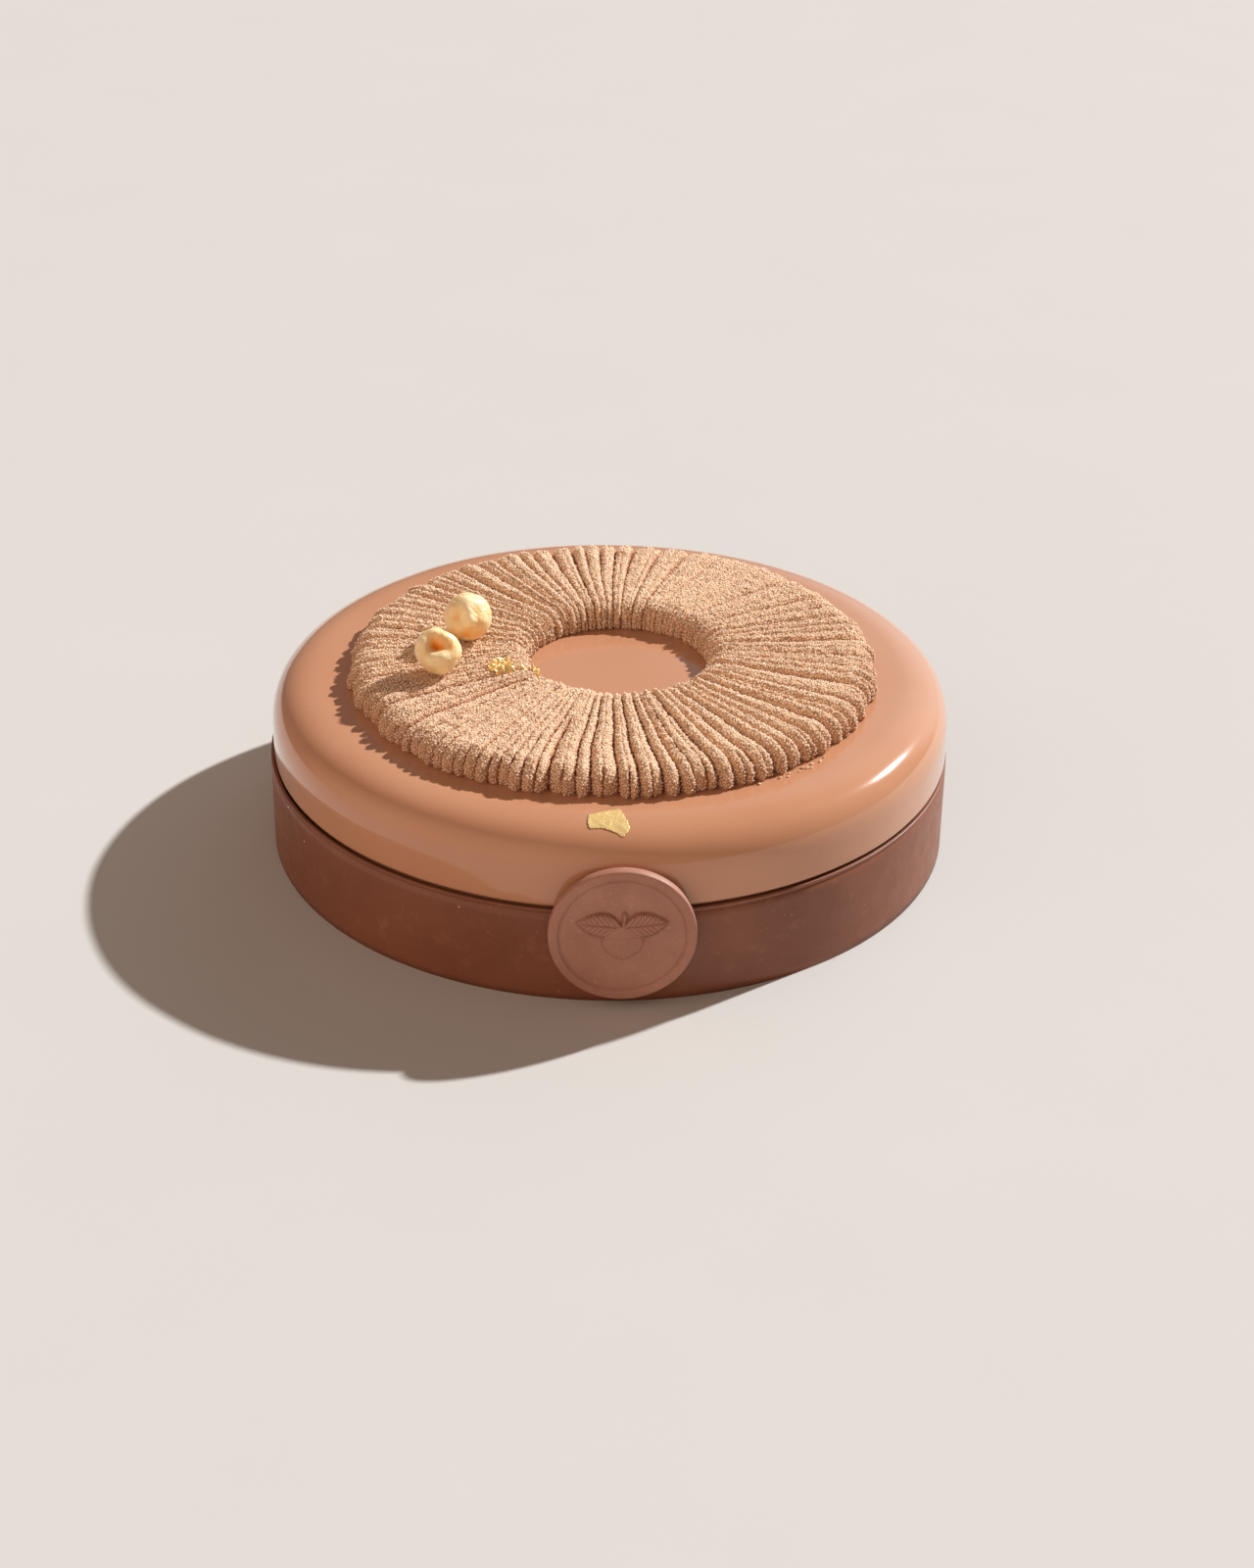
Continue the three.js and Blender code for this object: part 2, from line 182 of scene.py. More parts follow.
def skin(name, rows, wraps=False):
    """A closed mesh over rows of points. Each row is a loop. The last row joins the first if
    the rows wrap, or else a middle point closes each end row."""
    row_count, column_count = rows.shape[:2]
    index = np.arange(row_count * column_count).reshape(row_count, column_count)
    beside = np.roll(index, -1, axis=1)
    corners = (index, beside, np.roll(beside, -1, axis=0), np.roll(index, -1, axis=0))
    joined = row_count if wraps else row_count - 1
    quads = np.stack(corners, axis=2)[:joined]
    points = rows.reshape(-1, 3)
    faces = quads.reshape(-1, 4).tolist()
    if not wraps:
        middle = len(points)
        points = np.vstack([points, rows[0].mean(axis=0), rows[-1].mean(axis=0)])
        for here, there in zip(index[0].tolist(), beside[0].tolist()):
            faces.append((there, here, middle))
        for here, there in zip(index[-1].tolist(), beside[-1].tolist()):
            faces.append((here, there, middle + 1))
    mesh = new_mesh(name, points.tolist(), faces=faces)
    face_outwards(mesh)
    return mesh


def paint(mesh, name, values):
    """Stores one number for each vertex, for a material or a node tree to read."""
    attribute = mesh.attributes.new(name, "FLOAT", "POINT")
    attribute.data.foreach_set("value", np.asarray(values, np.float32).ravel())


def make_surface_finder(*names):
    """A function that gives the height of the topmost of those pieces under a place."""
    graph = bpy.context.evaluated_depsgraph_get()
    trees = [BVHTree.FromObject(bpy.data.objects[name], graph) for name in names]
    above = 200 * MM

    def height_at(x, y):
        hits = [tree.ray_cast(Vector((x, y, above)), Vector((0, 0, -1)))[0] for tree in trees]
        return max(hit.z for hit in hits if hit is not None)

    return height_at


def add_piece(name, mesh, material, slot, *replaced):
    """Puts a finished mesh in the scene as a piece of the cake. A mesh that has its material
    already is given None."""
    piece = bpy.data.objects.new(name, mesh)
    bpy.context.scene.collection.objects.link(piece)
    if material is not None:
        mesh.materials.clear()
        mesh.materials.append(material)
    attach(piece, "root")
    if replaced:
        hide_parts(*replaced)


# ---- Nodes of every tree ----

def find_socket(sockets, key):
    """The socket with that number, or the one with that name that is in use."""
    if isinstance(key, int):
        return sockets[key]
    return next(socket for socket in sockets if socket.name == key and socket.enabled)


def set_input(tree, target, value):
    """Gives an input a plain value, or links it to an output."""
    if isinstance(value, NodeSocket):
        tree.links.new(value, target)
    else:
        target.default_value = value


def add_node(tree, kind, inputs=None, **settings):
    """Adds a node. Each input is a plain value, or an output to link."""
    node = tree.nodes.new(kind)
    for setting, value in settings.items():
        setattr(node, setting, value)
    for key, value in (inputs or {}).items():
        set_input(tree, find_socket(node.inputs, key), value)
    return node


def output_of(node, name):
    return find_socket(node.outputs, name)


def spread(tree, value, low, high, new_low=0.0, new_high=1.0):
    """Stretches the values between low and high over a new range, and holds them there."""
    inputs = {"Value": value, "From Min": low, "From Max": high, "To Min": new_low, "To Max": new_high}
    return add_node(tree, "ShaderNodeMapRange", inputs).outputs["Result"]


def calculate(tree, operation, first, second):
    """One sum of two numbers or outputs, such as ADD or MULTIPLY."""
    return add_node(tree, "ShaderNodeMath", {0: first, 1: second}, operation=operation).outputs[0]


# ---- Materials ----

def start_material(name):
    """A new material, its tree, its shader and its Object coordinates."""
    material = bpy.data.materials.new(name)
    material.use_nodes = True
    tree = material.node_tree
    coordinates = add_node(tree, "ShaderNodeTexCoord").outputs["Object"]
    return material, tree, tree.nodes["Principled BSDF"], coordinates


def set_shader(tree, shader, values):
    """Sets a shader's inputs, each to a plain value or an output."""
    for name, value in values.items():
        set_input(tree, shader.inputs[name], value)


def noise(tree, coordinates, lumps_apart, detail=2.0, roughness=0.5):
    """A noise pattern from 0 to 1 with lumps that far apart, in mm."""
    scale = 1 / (lumps_apart * MM)
    inputs = {"Vector": coordinates, "Scale": scale, "Detail": detail, "Roughness": roughness}
    return output_of(add_node(tree, "ShaderNodeTexNoise", inputs), "Fac")


def attribute(tree, name):
    return add_node(tree, "ShaderNodeAttribute", attribute_name=name).outputs["Fac"]


def blend_colours(tree, share, first, second):
    """The first colour where share is 0, and the second where it is 1."""
    inputs = {"Factor": share}
    for key, colour in (("A", first), ("B", second)):
        inputs[key] = colour if isinstance(colour, NodeSocket) else (*colour, 1.0)
    return output_of(add_node(tree, "ShaderNodeMix", inputs, data_type="RGBA"), "Result")


def bump(tree, shader, coordinates, *layers):
    """Fine relief in a shader's light. Each layer is its lumps' distance apart in mm, its
    detail and its height in mm."""
    normal = None
    for lumps_apart, detail, height in layers:
        pattern = noise(tree, coordinates, lumps_apart, detail)
        inputs = {"Height": pattern, "Distance": height * MM, "Strength": 1.0}
        if normal is not None:
            inputs["Normal"] = normal
        normal = add_node(tree, "ShaderNodeBump", inputs).outputs["Normal"]
    tree.links.new(normal, shader.inputs["Normal"])


# ---- Geometry Nodes ----

def start_geometry_tree(name, inputs):
    """A Geometry Nodes tree with a geometry in and out, and the named inputs given. Gives the
    tree and the sockets that carry its inputs."""
    tree = bpy.data.node_groups.new(name, "GeometryNodeTree")
    tree.interface.new_socket(name="Geometry", in_out="INPUT", socket_type="NodeSocketGeometry")
    tree.interface.new_socket(name="Geometry", in_out="OUTPUT", socket_type="NodeSocketGeometry")
    for input_name, kind in inputs.items():
        tree.interface.new_socket(name=input_name, in_out="INPUT", socket_type="NodeSocket" + kind)
    return tree, tree.nodes.new("NodeGroupInput").outputs


def end_geometry_tree(tree, geometry, material):
    """Ends a tree in real, smooth, finished mesh."""
    real = add_node(tree, "GeometryNodeRealizeInstances", {"Geometry": geometry}).outputs[0]
    smooth = add_node(tree, "GeometryNodeSetShadeSmooth", {0: real}).outputs[0]
    finished = add_node(tree, "GeometryNodeSetMaterial", {"Geometry": smooth, "Material": material})
    outlet = tree.nodes.new("NodeGroupOutput")
    tree.links.new(finished.outputs[0], outlet.inputs["Geometry"])


def roughen(tree, geometry, scale, reach, detail=2.0):
    """Moves a geometry's points by a noise pattern, each way by up to half of reach."""
    place = add_node(tree, "GeometryNodeInputPosition").outputs["Position"]
    pattern = add_node(tree, "ShaderNodeTexNoise", {"Vector": place, "Scale": scale, "Detail": detail})
    inputs = {0: pattern.outputs["Color"], 1: (0.5, 0.5, 0.5)}
    centred = add_node(tree, "ShaderNodeVectorMath", inputs, operation="SUBTRACT")
    inputs = {0: centred.outputs["Vector"], "Scale": reach}
    offset = add_node(tree, "ShaderNodeVectorMath", inputs, operation="SCALE")
    inputs = {"Geometry": geometry, "Offset": offset.outputs["Vector"]}
    return add_node(tree, "GeometryNodeSetPosition", inputs).outputs["Geometry"]


def random_value(tree, kind, low, high, seed):
    inputs = {"Min": low, "Max": high, "Seed": seed}
    return output_of(add_node(tree, "FunctionNodeRandomValue", inputs, data_type=kind), "Value")


def set_on_points(tree, points, shape, turn_seed, least_scale, most_scale, scale_seed):
    """Puts a shape on every point, each at its own turn and scale."""
    whole_turns = (6.28, 6.28, 6.28)
    return add_node(tree, "GeometryNodeInstanceOnPoints", {
        "Points": points,
        "Instance": shape,
        "Rotation": random_value(tree, "FLOAT_VECTOR", (0, 0, 0), whole_turns, turn_seed),
        "Scale": random_value(tree, "FLOAT_VECTOR", least_scale, most_scale, scale_seed),
    }).outputs["Instances"]


def grow(name, source, tree, values):
    """Runs a Geometry Nodes tree on a source mesh and gives the plain mesh that it makes."""
    carrier = bpy.data.objects.new(name + "_carrier", source)
    bpy.context.scene.collection.objects.link(carrier)
    modifier = carrier.modifiers.new(tree.name, "NODES")
    modifier.node_group = tree
    for item in tree.interface.items_tree:
        if item.in_out == "INPUT" and item.name in values:
            modifier[item.identifier] = values[item.name]
    evaluated = carrier.evaluated_get(bpy.context.evaluated_depsgraph_get())
    mesh = bpy.data.meshes.new_from_object(evaluated)
    mesh.name = name
    carrier.modifiers.remove(modifier)
    bpy.data.objects.remove(carrier)
    if not mesh.polygons:
        raise RuntimeError(f"{tree.name} made nothing for {name}")
    return mesh


# ---- Glazed cake and chocolate band ----

def make_turning_tree():
    """Turns an outline about +Z, as on a cake turntable, and lets its surface waver."""
    tree, given = start_geometry_tree("Turn On Turntable", {
        "Path Radius": "Float",
        "Segments": "Int",
        "Waver": "Float",
        "Waver Spacing": "Float",
        "Full Waver Height": "Float",
        "Material": "Material",
    })
    profile = add_node(tree, "GeometryNodeMeshToCurve", {"Mesh": given["Geometry"]})
    inputs = {"Resolution": given["Segments"], "Radius": given["Path Radius"]}
    path = add_node(tree, "GeometryNodeCurvePrimitiveCircle", inputs)
    inputs = {"Curve": path.outputs["Curve"], "Profile Curve": profile.outputs["Curve"]}
    turned = add_node(tree, "GeometryNodeCurveToMesh", inputs)
    inputs = {"Geometry": turned.outputs["Mesh"], "Distance": 0.01 * MM}
    closed = add_node(tree, "GeometryNodeMergeByDistance", inputs)
    place = add_node(tree, "GeometryNodeInputPosition").outputs["Position"]
    height = add_node(tree, "ShaderNodeSeparateXYZ", {0: place}).outputs["Z"]
    height_share = spread(tree, height, 0.0, given["Full Waver Height"])
    reach = calculate(tree, "MULTIPLY", given["Waver"], height_share)
    frequency = calculate(tree, "DIVIDE", 1.0, given["Waver Spacing"])
    wavered = roughen(tree, closed.outputs["Geometry"], frequency, reach, 1.0)
    end_geometry_tree(tree, wavered, given["Material"])
    return tree


def turn(name, outline, settings, material):
    """Turns an outline of (radius, height) points into a closed, outward-facing mesh."""
    path_radius = BAND_HIGH.y
    from_path = [(radius - path_radius, -height, 0) for radius, height in outline]
    edges = [(i, i + 1) for i in range(len(from_path) - 1)]
    profile = new_mesh(name + "_outline", from_path, edges)
    tree = bpy.data.node_groups.get("Turn On Turntable") or make_turning_tree()
    mesh = grow(name, profile, tree, {
        "Path Radius": path_radius,
        "Segments": settings.segments,
        "Waver": settings.waver,
        "Waver Spacing": settings.waver_spacing,
        "Full Waver Height": BODY_HIGH.z,
        "Material": material,
    })
    face_outwards(mesh)
    return mesh


class GlazeSettings(PropertyGroup):
    """The glazed cake."""

    radius: length("Radius", "Radius of the glazed side above the band", (BODY_HIGH.x - BODY_LOW.x) / 2)
    body_radius: length("Body Radius", "Radius of the body inside the band", BAND_HIGH.y - 1.65 * MM)
    swell_bottom: length("Swell Bottom", "Height at which the glaze swells out", BAND_HIGH.z + 0.45 * MM)
    swell_drop: length("Swell Drop", "Height over which the glaze rounds outwards", 1.3 * MM)
    shoulder_width: length("Shoulder Width", "How far in the top edge is rounded", 14 * MM)
    shoulder_drop: length("Shoulder Drop", "How far down the top edge is rounded", 11.8 * MM)
    squareness: number("Squareness", "2 rounds the top edge as an ellipse, and more squares it", 2.6)
    waver: length("Waver", "How much the poured surface wavers", 0.6 * MM)
    waver_spacing: length("Waver Spacing", "Distance between two swells of the glaze", 38 * MM)
    segments: whole_number("Segments", "Flat faces round the cake", 320)
    colour: tint("Colour", "Caramel of the glaze", 200, 144, 110)
    deep_colour: tint("Deep Colour", "Caramel where the glaze is thicker", 191, 132, 98)
    speck_colour: tint("Speck Colour", "Pale specks in the glaze", 226, 178, 142)


def make_glaze_material(settings):
    material, tree, shader, coordinates = start_material("caramel_glaze")
    clouds = noise(tree, coordinates, 34)
    colour = blend_colours(tree, clouds, settings.deep_colour, settings.colour)
    specks = spread(tree, noise(tree, coordinates, 1.1, 1), 0.68, 0.78, 0.0, 0.1)
    set_shader(tree, shader, {
        "Base Color": blend_colours(tree, specks, colour, settings.speck_colour),
        "Roughness": 0.16,
        "Specular IOR Level": 0.14,
        "Coat Weight": 1.0,
        "Coat Roughness": spread(tree, noise(tree, coordinates, 9, 3), 0.3, 0.7, 0.03, 0.07),
        "Coat IOR": 1.5,
    })
    bump(tree, shader, coordinates, (7, 1, 0.03), (0.7, 2, 0.004))
    return material


class HAZELNUT_CAKE_OT_glaze(Operator):
    """Makes the glazed body of the cake"""

    bl_idname = "hazelnut_cake.glaze"
    bl_label = "Glazed Body"

    def execute(self, context):
        size = context.scene.cake_glaze
        top = BODY_HIGH.z
        swell_width = 0.8 * MM
        swell_centre = (size.radius - swell_width, size.swell_bottom + size.swell_drop)
        swell = quarter_ellipse(swell_centre, (swell_width, size.swell_drop), -1, 0, 8)
        shoulder_centre = (size.radius - size.shoulder_width, top - size.shoulder_drop)
        shoulder_axes = (size.shoulder_width, size.shoulder_drop)
        shoulder = quarter_ellipse(shoulder_centre, shoulder_axes, 0, 1, 34, size.squareness)
        outline = even_steps([
            (0, 0),
            (size.body_radius, 0),
            (size.body_radius, size.swell_bottom),
            *swell,
            *shoulder,
            (0, top),
        ], 3 * MM)
        mesh = turn("glazed_body", outline, size, make_glaze_material(size))
        mesh.transform(Matrix.Translation(((BODY_LOW.x + BODY_HIGH.x) / 2, 0, 0)))
        add_piece("glazed_body", mesh, None, "glaze", "cake_body")
        return {"FINISHED"}


class BandSettings(PropertyGroup):
    """The chocolate band round the cake."""

    radius: length("Radius", "Outer radius of the band", BAND_HIGH.y)
    height: length("Height", "Height of the band", BAND_HIGH.z)
    thickness: length("Thickness", "Thickness of the chocolate", 1.05 * MM)
    lip_drop: length("Lip Drop", "How far below the top the moulded line runs", 1.1 * MM)
    lip_depth: length("Lip Depth", "Depth of the moulded line", 0.28 * MM)
    waver: length("Waver", "How much the band wavers at its top", 0.45 * MM)
    waver_spacing: length("Waver Spacing", "Distance between two swells of the band", 45 * MM)
    segments: whole_number("Segments", "Flat faces round the band", 360)
    colour: tint("Colour", "Milk chocolate of the band", 137, 82, 57)
    dark_colour: tint("Dark Colour", "Darker streaks in the band", 124, 72, 49)
    bloom_colour: tint("Bloom Colour", "Pale rubbed patches", 174, 120, 92)


def make_band_material(settings):
    material, tree, shader, coordinates = start_material("milk_chocolate_band")
    clouds = spread(tree, noise(tree, coordinates, 24, 3), 0.3, 0.7)
    colour = blend_colours(tree, clouds, settings.dark_colour, settings.colour)
    rubbed = spread(tree, noise(tree, coordinates, 7, 5, 0.65), 0.56, 0.8, 0.0, 0.35)
    worn = blend_colours(tree, rubbed, colour, settings.bloom_colour)
    dots = spread(tree, noise(tree, coordinates, 0.9, 1), 0.7, 0.78, 0.0, 0.5)
    set_shader(tree, shader, {
        "Base Color": blend_colours(tree, dots, worn, settings.bloom_colour),
        "Roughness": spread(tree, noise(tree, coordinates, 5, 4), 0.3, 0.7, 0.36, 0.5),
        "Specular IOR Level": 0.4,
    })
    bump(tree, shader, coordinates, (3, 2, 0.05), (0.4, 2, 0.012))
    return material


class HAZELNUT_CAKE_OT_band(Operator):
    """Makes the chocolate band round the cake's foot"""

    bl_idname = "hazelnut_cake.band"
    bl_label = "Chocolate Band"

    def execute(self, context):
        size = context.scene.cake_band
        inner = size.radius - size.thickness
        edge = size.thickness * 0.3
        lip = size.height - size.lip_drop
        corner_height = size.height - edge
        line = [
            (size.radius, lip - 0.3 * MM),
            (size.radius - size.lip_depth * 0.8, lip - 0.14 * MM),
            (size.radius - size.lip_depth, lip),
            (size.radius - size.lip_depth * 0.8, lip + 0.14 * MM),
            (size.radius - size.lip_depth * 0.2, lip + 0.3 * MM),
        ]
        outline = even_steps([
            (inner, 0),
            (size.radius, 0),
            *line,
            *quarter_ellipse((size.radius - edge, corner_height), (edge, edge), 0, 1, 4),
            *quarter_ellipse((inner + edge, corner_height), (edge, edge), 1, 2, 4),
            (inner, 0),
        ], 2 * MM)
        mesh = turn("chocolate_band_wrap", outline, size, make_band_material(size))
        add_piece("chocolate_band_wrap", mesh, None, "band_chocolate", "chocolate_band")
        return {"FINISHED"}


# ---- Pleated ring ----

# Grooves between the pleats, by their angle at the ring's outer edge.
DEEP_GROOVES = (
    4.7, 13.2, 22.7, 32.3, 98, 103.2, 108.6, 118.3, 122.7, 128.4, 138.9, 145.7, 154.7, 168.9,
    198.8, 254, 263, 269, 278.7, 282, 293.9, 303.7, 307.3, 311.5, 315.7, 321.7, 328, 341.6, 355.7,
)
MEDIUM_GROOVES = (
    9.5, 17.7, 28.5, 40.5, 68.7, 75.3, 82.3, 86.7, 90.8, 94.7, 111.7, 134.2, 158.5, 162.7, 172.2,
    176.3, 182, 185.2, 188.5, 193, 203, 206.5, 217.3, 260, 273.4, 290.1, 298.6, 325.6, 333.7, 346,
    350.3,
)
# From and to these angles, the creases between ropes have this share of their usual depth.
ROPE_ZONES = (
    (0, 43, 0.65), (43, 66, 0.5), (68, 125, 0.4), (140, 216, 1.7), (216, 252, 0.95), (252, 300, 0.5),
    (300, 345, 0.35), (345, 365, 0.65),
)
# How grooves fade inwards: the radius where that begins and the share of the depth left. Those
# in the back zone are shallow at the inner rim, and the halfway groove stops before it.
USUAL_FADE = (42 * MM, 0.88)
BACK_ZONE = (66, 118)
BACK_FADE = (58 * MM, 0.5)
HALFWAY_GROOVE = 254
HALFWAY_FADE = (49 * MM, 0.0)
FADE_LENGTH = 12 * MM
# A groove or crease this deep gets the full painted shade at its bottom.
DARK_GROOVE = 1.5 * MM
DARK_CREASE = 1.2 * MM
COLUMN_PARTS = (
    "angle", "pleat_share", "pleat_width", "rope", "rope_share", "rope_width", "left_crease",
    "right_crease", "left_depth", "left_reach", "left_keep", "right_depth", "right_reach", "right_keep",
)


class RingSettings(PropertyGroup):
    """The piped ring of pleats."""

    centre_x: length("Centre X", "How far right of the cake's middle the ring sits", 0.9 * MM)
    centre_y: length("Centre Y", "How far behind the cake's middle the ring sits", -0.7 * MM)
    hole_shift_x: length("Hole Shift X", "How far right of the ring's centre its hole is", 1.4 * MM)
    hole_shift_y: length("Hole Shift Y", "How far behind the ring's centre its hole is", 1.7 * MM)
    outer_radius: length("Outer Radius", "Radius over the pleats' ends", 69.4 * MM)
    inner_radius: length("Inner Radius", "Radius of the open middle", 23.4 * MM)
    height: length("Height", "Height of the ring", RING_HIGH.z - RING_LOW.z)
    deep_groove: length("Deep Groove", "Depth between two separate pleats", 3.3 * MM)
    medium_groove: length("Medium Groove", "Depth between two pleats that touch", 2.5 * MM)
    pleat_rounding: length("Pleat Rounding", "Widest rounding of a pleat's side", 3.7 * MM)
    rope_spacing: number("Rope Spacing", "Width of a rope inside a pleat, in degrees", 2.7)
    rope_crease: length("Rope Crease", "Depth of a crease between two ropes", 1.35 * MM)
    end_crease: length("End Crease", "Depth between the ropes' ends at the outer wall", 1.7 * MM)
    end_depth: number("End Depth", "How much deeper the grooves are between pleats' ends", 1.35)
    grain_spacing: length("Grain Spacing", "Least distance between two velvet grains", 0.61 * MM)
    grain_radius: length("Grain Radius", "Radius of a middling velvet grain", 0.32 * MM)
    seed: whole_number("Seed", "Draws another ring of the same kind", 7)
    colour: tint("Colour", "Velvet on the pleats", 252, 222, 193)
    pale_colour: tint("Pale Colour", "Palest velvet grains", 255, 235, 211)
    # Painted shade: a darker, more orange colour that stands in for the cream in shade in the grooves
    # and on the walls.
    groove_shade_colour: tint("Groove Colour", "Cream deep in the grooves", 212, 132, 84)
    between_colour: tint("Between Colour", "Cream between the grains on top", 247, 200, 160)


def list_grooves(size):
    """Every groove in order as (angle, depth, radius where it starts to fade, share left)."""
    stated = [(angle, size.deep_groove) for angle in DEEP_GROOVES]
    stated += [(angle, size.medium_groove) for angle in MEDIUM_GROOVES]
    grooves = []
    for angle, depth in sorted(stated):
        fade = USUAL_FADE
        if angle == HALFWAY_GROOVE:
            fade = HALFWAY_FADE
        elif BACK_ZONE[0] <= angle <= BACK_ZONE[1]:
            fade = BACK_FADE
        grooves.append((angle, depth, *fade))
    return grooves


def list_columns(grooves, size, draw):
    """For every column of the ring, its COLUMN_PARTS. A share is how far across its pleat or
    rope the column lies, and widths are in degrees."""
    finest = 0.41
    edge_jitter = 0.16
    crease_range = (0.6, 1.4)
    crowding = 0.4
    columns = []
    rope_number = 0
    for (angle, *groove), (next_angle, *next_groove) in zip(grooves, grooves[1:] + grooves[:1]):
        width = (next_angle - angle) % 360
        ropes = max(1, round(width / size.rope_spacing))
        edges = (np.arange(ropes + 1) + draw.uniform(-edge_jitter, edge_jitter, ropes + 1)) / ropes
        creases = size.rope_crease * draw.uniform(*crease_range, ropes + 1)
        for low, high, share in ROPE_ZONES:
            if low <= angle + width / 2 <= high:
                creases *= share
        edges[[0, -1]] = 0, 1
        creases[[0, -1]] = 0
        for rope in range(ropes):
            share_of_pleat = edges[rope + 1] - edges[rope]
            steps = max(5, round(share_of_pleat * width / finest))
            for step in range(steps):
                plain = step / steps
                crowded = (1 - math.cos(math.pi * plain)) / 2
                rope_share = (1 - crowding) * plain + crowding * crowded
                pleat_share = edges[rope] + share_of_pleat * rope_share
                columns.append((
                    angle + width * pleat_share, pleat_share, width,
                    rope_number, rope_share, share_of_pleat * width,
                    creases[rope], creases[rope + 1], *groove, *next_groove,
                ))
            rope_number += 1
    return dict(zip(COLUMN_PARTS, np.array(columns).T))


def list_section(size):
    """The ring's section as columns of radius, height, outward share, inward share, distance
    along it and the direction in which its surface faces, outwards and up."""
    foot = 0.7 * MM
    foot_slope = 0.3 * MM
    outer = size.outer_radius
    inner = size.inner_radius
    outer_rounding = (6.4 * MM, 5.0 * MM)
    inner_rounding = (5.6 * MM, 5.6 * MM)
    outer_centre = (outer - outer_rounding[0], size.height - outer_rounding[1])
    inner_centre = (inner + inner_rounding[0], size.height - inner_rounding[1])
    section = np.array(even_steps([
        (inner + foot_slope, 0),
        (inner, foot),
        *quarter_ellipse(inner_centre, inner_rounding, 2, 1, 8),
        *quarter_ellipse(outer_centre, outer_rounding, 1, 0, 9),
        (outer, foot),
        (outer - foot_slope, 0),
    ], 0.63 * MM))
    outward = np.clip((section[:, 0] - outer_centre[0]) / outer_rounding[0], 0, 1)
    inward = np.clip((inner_centre[0] - section[:, 0]) / inner_rounding[0], 0, 1)
    steps = np.linalg.norm(np.diff(section, axis=0), axis=1)
    along = np.concatenate([[0], np.cumsum(steps)])
    facing = np.gradient(section, axis=0)
    facing = np.stack([-facing[:, 1], facing[:, 0]], axis=1)
    facing /= np.linalg.norm(facing, axis=1)[:, None]
    level = np.stack([np.where(outward > 0, 1.0, -1.0), np.zeros(len(section))], axis=1)
    at_foot = section[:, 1] <= foot
    facing[at_foot] = level[at_foot]
    return [part[:, None] for part in (*section.T, outward, inward, along, *facing.T)]


def fillet(distance, width):
    """1 at a groove's middle, falling along a quarter circle to 0 at that width away."""
    share = np.clip(distance / width, 0, 1)
    return 1 - np.sqrt(np.clip(1 - (1 - share) ** 2, 0, 1))


def hump(share):
    """0 at both sides of a pleat or rope, and 1 in its middle."""
    return np.sqrt(np.clip(np.sin(math.pi * share), 0, 1))


def cut_depths(columns, radius, outward, size):
    """How deep the grooves and the creases between the ropes cut in at each place, and how
    near each place is to the bottom of one, from 0 to 1, which sets how much painted shade the
    cream and grains get there."""
    half_pleat = np.radians(columns["pleat_width"]) * radius / 2
    half_rope = np.radians(columns["rope_width"]) * radius / 2
    rounding = np.minimum(half_pleat, size.pleat_rounding)
    cut = np.zeros_like(half_pleat)
    crevice = np.zeros_like(half_pleat)
    sides = (
        ("left", columns["pleat_share"], columns["rope_share"]),
        ("right", 1 - columns["pleat_share"], 1 - columns["rope_share"]),
    )
    for side, across_pleat, across_rope in sides:
        keep = columns[side + "_keep"]
        reach = columns[side + "_reach"]
        kept = keep + (1 - keep) * smooth_step(reach - FADE_LENGTH, reach, radius)
        groove_depth = columns[side + "_depth"] * (kept + (size.end_depth - kept) * outward)
        crease = columns[side + "_crease"]
        end_crease = np.where(crease > 0, size.end_crease, 0)
        crease_depth = crease + (end_crease - crease) * outward
        hollows = (
            (groove_depth, DARK_GROOVE, fillet(across_pleat * 2 * half_pleat, rounding)),
            (crease_depth, DARK_CREASE, fillet(across_rope * 2 * half_rope, half_rope)),
        )
        for depth, dark_depth, nearness in hollows:
            cut += depth * nearness
            crevice = np.maximum(crevice, nearness * np.clip(depth / dark_depth, 0, 1))
    return cut, crevice


